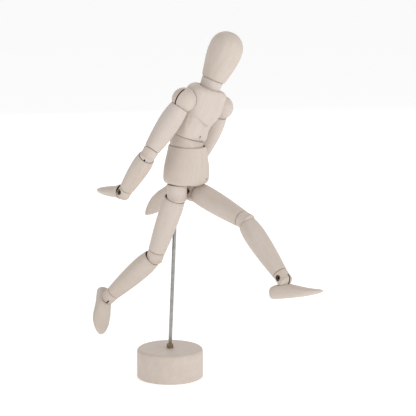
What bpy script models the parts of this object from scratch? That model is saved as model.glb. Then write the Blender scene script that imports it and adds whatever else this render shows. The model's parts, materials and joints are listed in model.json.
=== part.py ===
"""Jointed wooden figure of a drawing manikin, running, on a rod and a turned base.

Lengths are in millimetres and angles in degrees; MM turns lengths into Blender's metres.
The origin is the centre of the base's underside, +Z is up, and the figure's hips face -Y.
Every joint is an empty: its child pieces are modelled about its own origin, with the limb
hanging along -Z, the rivet along X and the slot of a joint drum open towards +Y.
"""

import math
from dataclasses import dataclass

import bmesh
import bpy
from mathutils import Vector

MM = 0.001
GAP = 0.3  # air between pieces that touch
SIDES = {"right": -1, "left": 1}

# Stand
BASE_RADIUS, BASE_HEIGHT, BASE_EDGE = 26.0, 23.0, 2.6
SOCKET_RADIUS, SOCKET_RISE, SOCKET_DEPTH = 2.6, 3.6, 8.0
ROD_RADIUS, ROD_LEAN, ROD_REACH = 1.5, 3.4, 134.0  # reach: base top to pelvis underside
ROD_IN_PELVIS, ROD_BEHIND = 14.0, 10.0  # behind: from the middle of the pelvis to the rod

# Trunk
PELVIS_HEIGHT, PELVIS_TOP_RADIUS = 29.0, 14.5
HIP_OUT = 9.3
WAIST_PIVOT, WAIST_RIM_RADIUS, WAIST_VISIBLE = 2.5, 13.2, 6.5
CHEST_HEIGHT, CHEST_CREST = 39.2, 1.2  # foot to the neck's seat, and how far the top stands above it
SHOULDER_OUT, SHOULDER_UP, BALL_RADIUS = 24.0, 27.5, 9.2
NECK_RADIUS_LOW, NECK_RADIUS_HIGH, NECK_HEIGHT, NECK_PIVOT = 7.3, 8.3, 7.5, 3.0
NECK_BORE, WAIST_BORE = 4.9, 6.6
HEAD_HEIGHT, HEAD_DOME_RADIUS = 37.5, 9.6
SPRING_RADIUS, NECK_SPRING_RADIUS, NECK_SPRING_TOP = 2.2, 1.5, 15.0
PIN_RADIUS = 0.6

# Joint hardware
SLOT_SPARE = 3.0  # degrees the slot runs on past the link's travel
SLOT_WIDTH, LINK_THICKNESS, LINK_HALF_WIDTH, LINK_EYE = 1.3, 0.7, 1.5, 2.5
RIVET_RADIUS, RIVET_HEAD, RIVET_HOLLOW = 1.3, 2.1, 1.0
PEG_RADIUS, PEG_LENGTH = 2.0, 5.0
LINK_BORE = 2.0

WOOD, STEEL, BRASS, BRONZE = "birch", "rod_steel", "socket_brass", "rivet_bronze"
COLOURS = {
    WOOD: ((0.76, 0.67, 0.58), 0.62, 0.0),
    STEEL: ((0.42, 0.42, 0.43), 0.28, 1.0),
    BRASS: ((0.62, 0.50, 0.30), 0.35, 1.0),
    BRONZE: ((0.24, 0.19, 0.14), 0.4, 1.0),
}
ROUND_STEPS, FINE_STEPS, SMALL_STEPS = 16, 24, 10


@dataclass(frozen=True)
class Drum:
    """A round joint block: pivot to its flat top, pivot to its rim, and its radius."""

    radius: float
    top: float
    rim: float
    swing_closed: float  # bend towards the slot
    swing_open: float  # bend away from the slot

    @property
    def dome(self):
        """Radius of the round underside, about the pivot."""
        return math.hypot(self.radius, self.rim - GAP)


@dataclass(frozen=True)
class Limb:
    """A turned limb hung from a drum: pivot-to-pivot length and radii down its length."""

    length: float
    rim_radius: float
    swell_radius: float
    swell_at: float  # share of the limb's own length
    end_radius: float


@dataclass(frozen=True)
class SidePose:
    """Rest angles of one side's joints, turn before bend."""

    shoulder_swing: float
    arm_lift: float
    elbow: tuple
    wrist: tuple
    hip: tuple
    knee: tuple
    ankle: tuple
    foot_turn: float


ELBOW = Drum(5.9, 3.9, 3.9, 62, 15)
WRIST = Drum(5.2, 3.7, 3.7, 62, 20)
HIP = Drum(7.6, 6.3, 5.4, 76, 15)
KNEE = Drum(6.5, 3.9, 3.9, 58, 15)
ANKLE = Drum(5.6, 4.2, 4.2, 45, 45)
BALL_RIM = 6.7

UPPER_ARM = Limb(48.0, 7.15, 8.3, 0.32, 6.1)
FOREARM = Limb(42.0, 6.45, 7.3, 0.26, 5.4)
THIGH = Limb(56.0, 8.15, 8.8, 0.2, 6.7)
SHIN = Limb(56.0, 7.05, 8.2, 0.24, 5.8)

# Rest pose: how far each joint is turned from the figure standing straight.
TORSO_POSE = {"lean": 14.5, "side": 13.0, "turn": 3.0, "neck": 0.0, "tilt": 2.0, "head": 0.0}
POSES = {
    "right": SidePose(3, 15, (-55, 35), (47, 45), (5, 20), (15, 26), (-60, 13), 14),
    "left": SidePose(12, 14, (-25, 23), (131, 28), (180, 75), (-166, 23), (-10, 36), 22),
}


def collection(name):
    """A new collection in the scene."""
    made = bpy.data.collections.new(name)
    bpy.context.scene.collection.children.link(made)
    return made


def clear_scene():
    """Removes everything that the file opened with."""
    for obj in list(bpy.data.objects):
        bpy.data.objects.remove(obj, do_unlink=True)


def material(name):
    """The plain material of one kind of stuff."""
    made = bpy.data.materials.get(name)
    if made is None:
        made = bpy.data.materials.new(name)
        made.use_nodes = True
        colour, roughness, metallic = COLOURS[name]
        shader = made.node_tree.nodes["Principled BSDF"]
        shader.inputs["Base Color"].default_value = (*colour, 1.0)
        shader.inputs["Roughness"].default_value = roughness
        shader.inputs["Metallic"].default_value = metallic
        made.diffuse_color = (*colour, 1.0)
    return made


def place(obj, parent, at=(0, 0, 0), turn=(0, 0, 0)):
    """Puts an object in its parent's frame."""
    obj.parent = parent
    obj.location = Vector(at) * MM
    obj.rotation_euler = [math.radians(a) for a in turn]
    return obj


def frame_empty(name, parent, at=(0, 0, 0), turn=(0, 0, 0)):
    """An empty that carries pieces or joints."""
    empty = bpy.data.objects.new(name, None)
    empty.empty_display_size = 0.01
    FIGURE.objects.link(empty)
    return place(empty, parent, at, turn)


def joint(name, parent, at, axis, rest):
    """An empty on a joint's axis, turned by the joint's rest angle about it."""
    return frame_empty(name, parent, at, [rest * part for part in axis])


def solid(name, mesh, stuff, parent, at=(0, 0, 0), turn=(0, 0, 0), in_cutters=False):
    """An object with a mesh, in its collection and its parent's frame."""
    obj = bpy.data.objects.new(name, mesh)
    if in_cutters:
        CUTTERS.objects.link(obj)
        obj.hide_render = True
        obj.display_type = "WIRE"
    else:
        FIGURE.objects.link(obj)
        mesh.materials.append(material(stuff))
    return place(obj, parent, at, turn)


def turned(name, profile, stuff, parent, steps=ROUND_STEPS, **where):
    """A lathe-turned piece: radius and height pairs, spun about Z by a Screw modifier."""
    points = [Vector((radius, 0, height)) * MM for radius, height in profile]
    mesh = bpy.data.meshes.new(name)
    mesh.from_pydata(points, [(i, i + 1) for i in range(len(points) - 1)], [])
    obj = solid(name, mesh, stuff, parent, **where)
    screw = obj.modifiers.new("Lathe", "SCREW")
    screw.steps = screw.render_steps = steps
    screw.use_merge_vertices = True
    screw.merge_threshold = 0.00001
    screw.use_smooth_shade = True
    return obj


def arc(radius, start, end, steps, centre=(0.0, 0.0)):
    """Points of a round stretch of a profile; angles are measured from +Z towards +X."""
    points = []
    for i in range(steps + 1):
        angle = math.radians(start + (end - start) * i / steps)
        points.append((centre[0] + radius * math.sin(angle), centre[1] + radius * math.cos(angle)))
    return points


def lofted(name, sections, stuff, parent, steps=ROUND_STEPS, **where):
    """A skin through level rings: height, half width, half depth, forward shift, squareness."""
    bm = bmesh.new()
    rings = []
    for height, half_x, half_y, shift, square in sections:
        ring = []
        for i in range(steps):
            angle = 2 * math.pi * i / steps
            c, s = math.cos(angle), math.sin(angle)
            x = half_x * math.copysign(abs(c) ** (2 / square), c)
            y = half_y * math.copysign(abs(s) ** (2 / square), s) - shift
            ring.append(bm.verts.new(Vector((x, y, height)) * MM))
        rings.append(ring)
    for low, high in zip(rings, rings[1:]):
        for i in range(steps):
            j = (i + 1) % steps
            bm.faces.new((low[i], low[j], high[j], high[i]))
    bm.faces.new(list(reversed(rings[0])))
    bm.faces.new(rings[-1])
    bmesh.ops.recalc_face_normals(bm, faces=bm.faces)
    mesh = bpy.data.meshes.new(name)
    bm.to_mesh(mesh)
    bm.free()
    return solid(name, mesh, stuff, parent, **where)


def flat_mesh(name, outlines, thickness):
    """A flat plate across X from outlines in the Y-Z plane; the later outlines are holes."""
    curve = bpy.data.curves.new(name, "CURVE")
    curve.dimensions = "2D"
    curve.fill_mode = "BOTH"
    curve.extrude = thickness / 2 * MM
    for outline in outlines:
        spline = curve.splines.new("POLY")
        spline.points.add(len(outline) - 1)
        for point, (y, z) in zip(spline.points, outline):
            point.co = (y * MM, z * MM, 0, 1)
        spline.use_cyclic_u = True
    shape = bpy.data.objects.new(name, curve)
    CUTTERS.objects.link(shape)
    bpy.context.view_layer.update()
    evaluated = shape.evaluated_get(bpy.context.evaluated_depsgraph_get())
    mesh = bpy.data.meshes.new_from_object(evaluated)
    bpy.data.objects.remove(shape)
    bm = bmesh.new()
    bm.from_mesh(mesh)
    bmesh.ops.remove_doubles(bm, verts=bm.verts, dist=0.00001)
    for vert in bm.verts:
        y, z, x = vert.co
        vert.co = (x, y, z)
    bmesh.ops.recalc_face_normals(bm, faces=bm.faces)
    if bm.calc_volume(signed=True) < 0:
        bmesh.ops.reverse_faces(bm, faces=bm.faces)
    bm.to_mesh(mesh)
    bm.free()
    return mesh


def cut(obj, tool, operation="DIFFERENCE"):
    """Cuts a piece with another, by a Boolean modifier."""
    boolean = obj.modifiers.new(tool.name, "BOOLEAN")
    boolean.object = tool
    boolean.operation = operation
    boolean.solver = "EXACT"


def round_hole(obj, radius, depth, at, turn):
    """Drills a blind hole along the tool's -Z from a point just outside the surface."""
    profile = [(0, 4), (radius, 4), (radius, -depth), (0, -depth)]
    tool = turned(obj.name + "_drill", profile, None, obj.parent, SMALL_STEPS, at=at, turn=turn,
                  in_cutters=True)
    cut(obj, tool)


def ball_hole(obj, radius, at):
    """Hollows a round seat about a point."""
    tool = turned(obj.name + "_seat", arc(radius, 0, 180, 12), None, obj.parent, FINE_STEPS,
                  at=at, in_cutters=True)
    cut(obj, tool)


def slot_outline(dome, closed, opened):
    """The sweep of a link across its drum: hub, the two outermost sides and an arc outside."""
    hub, reach = LINK_EYE + GAP, dome + 3
    near, far = math.radians(closed + SLOT_SPARE), math.radians(-opened - SLOT_SPARE)
    outline = []
    for i in range(7):
        angle = far + math.pi + (near - far - math.pi) * i / 6
        outline.append((hub * math.cos(angle), hub * math.sin(angle)))
    for i in range(5):
        angle = near + (far - near) * i / 4
        edge = hub * (1 - i / 2)
        along = reach if i in (0, 4) else reach * 1.3
        outline.append((edge * math.cos(angle) + along * math.sin(angle),
                        edge * math.sin(angle) - along * math.cos(angle)))
    return outline


def link(name, parent, dome, reach):
    """The flat metal tongue between a drum and the limb below it, with an eye for the rivet."""
    eye = [(LINK_EYE * math.cos(math.radians(a)), LINK_EYE * math.sin(math.radians(a)))
           for a in range(-36, 217, 28)]
    tail = [(-LINK_HALF_WIDTH, -dome - reach), (LINK_HALF_WIDTH, -dome - reach)]
    hole_radius = RIVET_RADIUS + GAP
    hole = [(hole_radius * math.cos(math.radians(a)), hole_radius * math.sin(math.radians(a)))
            for a in range(0, 360, 36)]
    mesh = flat_mesh(name, [eye + tail, hole], LINK_THICKNESS)
    return solid(name, mesh, STEEL, parent)


def rivet(name, parent, radius, side):
    """A hollow rivet across the drum, with its open head just under the drum's face."""
    outer = radius - 0.5
    inner = -radius * 0.55
    profile = [(0, outer - 2.6), (RIVET_HOLLOW, outer - 2.6), (RIVET_HOLLOW, outer - 0.1),
               (RIVET_HOLLOW + 0.2, outer), (RIVET_HEAD - 0.2, outer), (RIVET_HEAD, outer - 0.2),
               (RIVET_HEAD, outer - 0.6), (RIVET_RADIUS, outer - 0.7), (RIVET_RADIUS, inner),
               (0, inner)]
    return turned(name, profile, BRONZE, parent, SMALL_STEPS, turn=(0, 90 * side, 0))


def rivet_holes(obj, radius, side):
    """The rivet's bore and the wider seat of its head."""
    round_hole(obj, RIVET_RADIUS + GAP, radius * 1.55 + GAP, (radius * side, 0, 0), (0, 90 * side, 0))
    round_hole(obj, RIVET_HEAD + GAP, 1.5, (radius * side, 0, 0), (0, 90 * side, 0))


def slot(obj, dome, closed, opened):
    """Saws the link's slot into a drum."""
    mesh = flat_mesh(obj.name + "_slot", [slot_outline(dome, closed, opened)], SLOT_WIDTH)
    cut(obj, solid(obj.name + "_saw", mesh, None, obj.parent, in_cutters=True))


def drum_piece(name, parent, drum, rivet_side):
    """A joint block with a peg above, a straight wall and a round underside."""
    edge = 0.8
    rim_angle = math.degrees(math.atan2(drum.radius, -(drum.rim - GAP)))
    profile = [(0, drum.top + PEG_LENGTH), (PEG_RADIUS, drum.top + PEG_LENGTH), (PEG_RADIUS, drum.top),
               (drum.radius - edge, drum.top), (drum.radius, drum.top - edge)]
    profile += arc(drum.dome, rim_angle, 180, 5)
    obj = turned(name, profile, WOOD, parent)
    slot(obj, drum.dome, drum.swing_closed, drum.swing_open)
    rivet_holes(obj, drum.radius, rivet_side)
    return obj


def socket_profile(dome, rim, rim_radius, bore_depth):
    """The hollow top of a limb: up the link's bore, round the seat and out to the rim."""
    seat = dome + GAP
    bore_angle = 180 - math.degrees(math.asin(LINK_BORE / seat))
    edge_angle = 180 - math.degrees(math.acos(rim / seat))
    profile = [(0, -dome - bore_depth), (LINK_BORE, -dome - bore_depth)]
    profile += arc(seat, bore_angle, edge_angle, 4)
    profile += [(rim_radius - 0.25, -rim), (rim_radius, -rim - 0.4)]
    return profile


def limb_piece(name, parent, limb, dome, rim, next_drum):
    """A turned limb from its hollow top to the flat end above the next drum."""
    end = limb.length - next_drum.top - GAP
    own = end - rim
    profile = socket_profile(dome, rim, limb.rim_radius, 10.0)
    for share in (0.12, 0.25, 0.5, 0.76, 0.98):
        profile.append((limb_radius(limb, share), -rim - own * share))
    profile += [(limb.end_radius - 0.4, -end), (PEG_RADIUS + GAP, -end),
                (PEG_RADIUS + GAP, -end + PEG_LENGTH + GAP), (0, -end + PEG_LENGTH + GAP)]
    return turned(name, profile, WOOD, parent)


def limb_radius(limb, share):
    """Radius at a share of the way down: up to the swell, then a long taper to the end."""
    if share < limb.swell_at:
        ease = math.sin(math.pi / 2 * share / limb.swell_at)
        return limb.rim_radius + (limb.swell_radius - limb.rim_radius) * ease
    ease = math.cos(math.pi / 2 * (share - limb.swell_at) / (1 - limb.swell_at))
    return limb.end_radius + (limb.swell_radius - limb.end_radius) * ease


def drum_joint(side, name, parent, at, drum, rivet_side):
    """A drum that turns on the limb above, and the bend joint for what hangs below it."""
    turn, bend = getattr(POSES[side], name)
    turning = joint(f"{side}_{name}_turn", parent, at, (0, 0, 1), turn)
    drum_piece(f"{side}_{name}_drum", turning, drum, rivet_side)
    rivet(f"{side}_{name}_rivet", turning, drum.radius, rivet_side)
    bending = joint(f"{side}_{name}_bend", turning, (0, 0, 0), (1, 0, 0), bend)
    link(f"{side}_{name}_link", bending, drum.dome, 7.0)
    return bending


def build_arm(side, chest):
    """Shoulder ball, upper arm, elbow, forearm, wrist and hand of one side."""
    out, pose = SIDES[side], POSES[side]
    at = (SHOULDER_OUT * out, 0, SHOULDER_UP)
    swing = joint(f"{side}_shoulder_swing", chest, at, (1, 0, 0), pose.shoulder_swing)
    ball = turned(f"{side}_shoulder_ball", arc(BALL_RADIUS, 0, 180, 10), WOOD, swing)
    # The arm lifts outwards, so this slot lies across the figure and its rivet front to back.
    facing = frame_empty(f"{side}_shoulder_facing", swing, turn=(0, 0, -90 * out))
    mesh = flat_mesh(ball.name + "_slot", [slot_outline(BALL_RADIUS, 80, 12)], SLOT_WIDTH)
    cut(ball, solid(ball.name + "_saw", mesh, None, facing, in_cutters=True))
    bore, depth = RIVET_RADIUS + GAP, BALL_RADIUS * 1.55
    profile = [(0, 4), (bore, 4), (bore, -depth), (0, -depth)]
    drill = turned(ball.name + "_drill", profile, None, swing, SMALL_STEPS,
                   at=(0, BALL_RADIUS, 0), turn=(-90, 0, 0), in_cutters=True)
    cut(ball, drill)
    pin = [(0, BALL_RADIUS - 0.6), (RIVET_RADIUS, BALL_RADIUS - 0.6),
           (RIVET_RADIUS, -BALL_RADIUS * 0.45), (0, -BALL_RADIUS * 0.45)]
    turned(f"{side}_shoulder_rivet", pin, BRONZE, swing, SMALL_STEPS, turn=(-90, 0, 0))
    lift = joint(f"{side}_arm_lift", swing, (0, 0, 0), (0, -out, 0), pose.arm_lift)
    hang = frame_empty(f"{side}_arm_facing", lift, turn=(0, 0, -90 * out))
    link(f"{side}_shoulder_link", hang, BALL_RADIUS, 7.0)
    limb_piece(f"{side}_upper_arm", lift, UPPER_ARM, BALL_RADIUS, BALL_RIM, ELBOW)
    elbow = drum_joint(side, "elbow", lift, (0, 0, -UPPER_ARM.length), ELBOW, out)
    limb_piece(f"{side}_forearm", elbow, FOREARM, ELBOW.dome, ELBOW.rim, WRIST)
    wrist = drum_joint(side, "wrist", elbow, (0, 0, -FOREARM.length), WRIST, out)
    build_hand(side, wrist)


def build_hand(side, wrist):
    """A flat, pointed mitten with a hollow seat for the wrist drum."""
    sections = [(-37.5, 0.9, 0.7, 0.0, 2.0), (-36.4, 2.3, 1.5, 0.0, 2.0), (-33.0, 4.1, 2.4, 0.0, 2.1),
                (-27.0, 6.0, 3.0, 0.0, 2.3), (-21.0, 6.8, 3.4, 0.0, 2.4), (-15.0, 6.7, 3.8, 0.0, 2.3),
                (-10.0, 5.8, 4.4, 0.0, 2.2), (-6.0, 5.7, 5.4, 0.0, 2.0), (-WRIST.rim, 5.8, 5.8, 0.0, 2.0)]
    hand = lofted(f"{side}_hand", sections, WOOD, wrist, 16)
    ball_hole(hand, WRIST.dome + GAP, (0, 0, 0))
    round_hole(hand, LINK_BORE, WRIST.dome + 8.0, (0, 0, 0), (0, 0, 0))


def build_leg(side, pelvis):
    """Hip, thigh, knee, shin, ankle and foot of one side."""
    out, pose = SIDES[side], POSES[side]
    at = (HIP_OUT * out, 0, -HIP.top - GAP)
    hip = drum_joint(side, "hip", pelvis, at, HIP, 1)
    limb_piece(f"{side}_thigh", hip, THIGH, HIP.dome, HIP.rim, KNEE)
    knee = drum_joint(side, "knee", hip, (0, 0, -THIGH.length), KNEE, 1)
    limb_piece(f"{side}_shin", knee, SHIN, KNEE.dome, KNEE.rim, ANKLE)
    ankle = drum_joint(side, "ankle", knee, (0, 0, -SHIN.length), ANKLE, -out)
    turning = joint(f"{side}_foot_turn", ankle, (0, 0, 0), (0, 0, 1), pose.foot_turn)
    build_foot(side, turning)


def build_foot(side, turning):
    """A long wedge: narrow heel, broad ball, pointed and slightly lifted toe."""
    # Rings run from the heel to the toe along -Y: (forward, half width, low, high).
    top = -ANKLE.rim
    rings = [(-10.2, 2.6, -12.6, -7.6), (-9.6, 4.2, -14.0, -6.2), (-6.0, 5.4, -14.8, -4.6),
             (0.0, 6.4, -15.2, top), (6.0, 6.7, -15.2, -4.9), (12.0, 7.2, -15.0, -6.6),
             (18.0, 7.6, -14.6, -8.4), (23.0, 6.9, -14.0, -9.6), (27.0, 4.9, -13.4, -10.4),
             (29.4, 1.8, -12.8, -11.2)]
    sections = [(forward, half, (high - low) / 2, -(high + low) / 2, 2.6)
                for forward, half, low, high in rings]
    foot = lofted(f"{side}_foot", sections, WOOD, turning, 16, turn=(90, 0, 0))
    ball_hole(foot, ANKLE.dome + GAP, (0, 0, 0))
    round_hole(foot, LINK_BORE, ANKLE.dome + 7.4, (0, 0, 0), (0, 0, 0))


def build_stand():
    """Turned base, brass socket and leaning rod."""
    stand = frame_empty("stand", None)
    hole = SOCKET_RADIUS + GAP
    profile = [(0, BASE_HEIGHT - SOCKET_DEPTH - GAP), (hole, BASE_HEIGHT - SOCKET_DEPTH - GAP),
               (hole, BASE_HEIGHT), (BASE_RADIUS - BASE_EDGE, BASE_HEIGHT)]
    profile += arc(BASE_EDGE, 15, 90, 4, (BASE_RADIUS - BASE_EDGE, BASE_HEIGHT - BASE_EDGE))
    profile += [(BASE_RADIUS, 0.8), (BASE_RADIUS - 0.8, 0), (0, 0)]
    turned("stand_base", profile, WOOD, stand, 40)
    foot_of_rod = frame_empty("rod_foot", stand, (0, 0, BASE_HEIGHT), (ROD_LEAN, 0, 0))
    bore = ROD_RADIUS + GAP
    profile = [(bore, -SOCKET_DEPTH + 1.2), (bore, SOCKET_RISE), (SOCKET_RADIUS - 0.3, SOCKET_RISE),
               (SOCKET_RADIUS, SOCKET_RISE - 0.3), (SOCKET_RADIUS, -SOCKET_DEPTH + 1.2)]
    socket = turned("rod_socket", profile + [profile[0]], BRASS, foot_of_rod, 16)
    socket.rotation_euler = (-foot_of_rod.rotation_euler.x, 0, 0)
    top = ROD_REACH + ROD_IN_PELVIS
    rod = [(0, top), (ROD_RADIUS - 0.3, top), (ROD_RADIUS, top - 0.5), (ROD_RADIUS, -5.5),
           (ROD_RADIUS - 0.2, -5.8), (0, -5.8)]
    turned("support_rod", rod, STEEL, foot_of_rod, 16)
    return foot_of_rod


def build_pelvis(rod):
    """Hips block on the rod, with the waist drum's seat on top."""
    hips = joint("stand_turn", rod, (0, 0, ROD_REACH), (0, 0, 1), 0)
    middle = frame_empty("pelvis_middle", hips, (0, -ROD_BEHIND, 0))
    h = PELVIS_HEIGHT
    top = PELVIS_TOP_RADIUS
    sections = [(0, 13.9, 11.6, 0, 2.4), (0.8, 15.4, 13.2, 0, 2.4), (3.0, 17.0, 14.9, 0, 2.3),
                (6.5, 18.0, 15.7, 0.2, 2.2), (10.5, 18.2, 15.8, 0.3, 2.15), (15.0, 17.6, 15.6, 0.2, 2.1),
                (20.0, 16.3, 15.2, 0, 2.05), (25.0, 15.0, 14.7, 0, 2.0), (h - 0.5, top, top, 0, 2.0),
                (h, top - 0.4, top - 0.4, 0, 2.0)]
    pelvis = lofted("pelvis", sections, WOOD, middle, FINE_STEPS)
    ball_hole(pelvis, math.hypot(WAIST_RIM_RADIUS, WAIST_PIVOT) + GAP, (0, 0, h + WAIST_PIVOT))
    round_hole(pelvis, ROD_RADIUS + GAP, ROD_IN_PELVIS + GAP, (0, ROD_BEHIND, 0), (180, 0, 0))
    for out in SIDES.values():
        round_hole(pelvis, PEG_RADIUS + GAP, PEG_LENGTH + 2 * GAP, (HIP_OUT * out, 0, 0), (180, 0, 0))
    front_pin(pelvis, "pelvis_pin", middle, (7.5, -15.2, 4.4), (84, 0, 22))
    return middle


def front_pin(obj, name, parent, at, turn):
    """A little steel pin driven into the front, with its end just under the surface."""
    round_hole(obj, PIN_RADIUS + GAP, 5, at, turn)
    pin = [(0, -0.4), (PIN_RADIUS, -0.4), (PIN_RADIUS, -4.6), (0, -4.6)]
    turned(name, pin, STEEL, parent, 8, at=at, turn=turn)


def build_torso(middle):
    """Waist drum, chest, neck and head, each on the one below."""
    pose = TORSO_POSE
    pivot = (0, 0, PELVIS_HEIGHT + WAIST_PIVOT)
    lean = joint("torso_lean", middle, pivot, (1, 0, 0), pose["lean"])
    ribbed("torso_spring", lean, SPRING_RADIUS, -13.1, 1.2)
    side = joint("torso_side", lean, (0, 0, 0), (0, 1, 0), pose["side"])
    build_waist(side)
    turn = joint("torso_turn", side, (0, 0, 0), (0, 0, 1), pose["turn"])
    chest = frame_empty("chest_foot", turn, (0, 0, WAIST_VISIBLE - WAIST_PIVOT + GAP))
    build_chest(chest)
    neck = joint("neck_lean", chest, (0, 0, CHEST_HEIGHT + NECK_PIVOT), (1, 0, 0), pose["neck"])
    build_neck(neck)
    tilt = joint("head_tilt", neck, (0, 0, head_pivot() - NECK_PIVOT), (0, 1, 0), pose["tilt"])
    ribbed("neck_spring", tilt, NECK_SPRING_RADIUS, -2.0, NECK_SPRING_TOP)
    turn = joint("head_turn", tilt, (0, 0, 0), (0, 0, 1), pose["head"])
    build_head(turn)
    return chest


def head_pivot():
    """Height of the head's pivot above the neck's foot: the middle of its round top."""
    return NECK_HEIGHT - math.sqrt(HEAD_DOME_RADIUS**2 - NECK_RADIUS_HIGH**2)


def ribbed(name, parent, radius, low, high):
    """A close-wound spring, drawn as a rod with one rib a turn."""
    turns = 6
    pitch = (high - low) / turns
    profile = [(0, high), (radius * 0.8, high)]
    for i in range(turns):
        top = high - pitch * i
        profile += [(radius, top - pitch * 0.5), (radius * 0.8, top - pitch)]
    turned(name, profile + [(0, low)], STEEL, parent, SMALL_STEPS)


def build_waist(parent):
    """Round-bottomed waist block, round at the seat and flat oval at the chest."""
    dome = math.hypot(WAIST_RIM_RADIUS, WAIST_PIVOT)
    top = WAIST_VISIBLE - WAIST_PIVOT
    sections = []
    for angle in (158, 147, 136, 125, 114, 104):
        radius = dome * math.sin(math.radians(angle))
        sections.append((dome * math.cos(math.radians(angle)), radius, radius, 0, 2.0))
    sections += [(-WAIST_PIVOT, WAIST_RIM_RADIUS, WAIST_RIM_RADIUS, 0, 2.0),
                 (top * 0.3, 13.2, 11.8, 0, 2.0), (top - 0.4, 13.3, 9.8, 0, 2.1), (top, 13.0, 9.4, 0, 2.1)]
    waist = lofted("waist_drum", sections, WOOD, parent, FINE_STEPS)
    profile = [(0, 2.0), (WAIST_BORE, 2.0), (WAIST_BORE, -20), (0, -20)]
    cut(waist, turned("waist_bore", profile, None, parent, ROUND_STEPS, in_cutters=True))


def build_chest(chest):
    """Ribcage block: narrow foot, broad shoulders, domed top with the neck's seat."""
    top = CHEST_HEIGHT + CHEST_CREST
    sections = [(0, 14.2, 8.2, 0.0, 2.5), (0.8, 14.7, 8.7, 0.0, 2.5), (6.0, 15.0, 9.6, 0.2, 2.5),
                (12.0, 15.3, 10.8, 0.6, 2.5), (17.0, 16.3, 11.9, 0.9, 2.5), (21.5, 18.4, 12.5, 1.0, 2.5),
                (26.0, 20.2, 12.6, 0.8, 2.5), (31.0, 20.6, 12.2, 0.5, 2.4), (35.0, 20.1, 11.6, 0.0, 2.3),
                (37.8, 18.6, 11.2, -0.3, 2.3), (top - 0.7, 15.8, 10.5, -0.5, 2.2),
                (top, 13.4, 9.6, -0.5, 2.1)]
    obj = lofted("chest", sections, WOOD, chest, FINE_STEPS)
    for out in SIDES.values():
        ball_hole(obj, BALL_RADIUS + GAP, (SHOULDER_OUT * out, 0, SHOULDER_UP))
    ball_hole(obj, math.hypot(NECK_RADIUS_LOW, NECK_PIVOT) + GAP, (0, 0, CHEST_HEIGHT + NECK_PIVOT))
    front_pin(obj, "chest_pin", chest, (0.0, -10.0, 3.6), (97, 0, 0))


def build_neck(neck):
    """Neck: round foot in the chest, round top in the head."""
    foot = math.hypot(NECK_RADIUS_LOW, NECK_PIVOT)
    rim_angle = math.degrees(math.atan2(NECK_RADIUS_LOW, -NECK_PIVOT))
    top_angle = math.degrees(math.asin(NECK_RADIUS_HIGH / HEAD_DOME_RADIUS))
    centre = (0.0, head_pivot() - NECK_PIVOT)
    bore_angle = math.degrees(math.asin(NECK_BORE / HEAD_DOME_RADIUS))
    profile = [(0, centre[1] - 3.6), (NECK_BORE, centre[1] - 3.6)]
    profile += arc(HEAD_DOME_RADIUS, bore_angle, top_angle, 3, centre)
    profile += arc(foot, rim_angle, 180, 4)
    turned("neck", profile, WOOD, neck)


def build_head(turn):
    """Egg-shaped head with a flat foot hollowed for the neck's round top."""
    foot = math.sqrt(HEAD_DOME_RADIUS**2 - NECK_RADIUS_HIGH**2) + 1.0
    shape = [(0, 8.5, 8.9, 0.0), (0.7, 8.9, 9.3, 0.0), (5.0, 9.9, 10.5, 0.1), (10.0, 10.9, 11.6, 0.2),
             (15.5, 11.9, 12.5, 0.1), (21.0, 12.5, 13.0, 0.0), (26.0, 12.4, 12.8, -0.1),
             (30.0, 11.4, 11.8, -0.2), (33.5, 9.3, 9.6, -0.3), (36.0, 6.2, 6.4, -0.3),
             (HEAD_HEIGHT - 0.1, 2.4, 2.5, -0.3)]
    sections = [(foot + z, x, y, shift, 2.1) for z, x, y, shift in shape]
    head = lofted("head", sections, WOOD, turn, 24)
    ball_hole(head, HEAD_DOME_RADIUS + GAP, (0, 0, 0))
    top = NECK_SPRING_TOP + GAP
    profile = [(0, top), (NECK_SPRING_RADIUS + GAP, top), (NECK_SPRING_RADIUS + GAP, 0), (0, 0)]
    cut(head, turned("head_bore", profile, None, turn, SMALL_STEPS, in_cutters=True))


def main():
    """Builds the stand, then the figure from the hips outwards."""
    rod = build_stand()
    middle = build_pelvis(rod)
    chest = build_torso(middle)
    for side in SIDES:
        build_arm(side, chest)
        build_leg(side, middle)
    bpy.context.view_layer.update()


clear_scene()
FIGURE = collection("artist_mannequin")
CUTTERS = collection("cutters")
main()
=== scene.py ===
"""An artist's manikin: a jointed wooden figure, running, on a steel rod over a turned base.

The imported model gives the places, axes and bodies. Each piece is shaped in its own frame in
millimetres, with its limb hanging along -Z, its rivet along X and the slot of its joint drum
open towards +Y, and is then put in the model's frame in metres.
"""

import json
import logging
import math
from dataclasses import dataclass, field
from enum import Enum
from functools import cache
from typing import Callable, Iterable, Sequence

import bmesh
import bpy
from mathutils import Matrix, Vector


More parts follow.
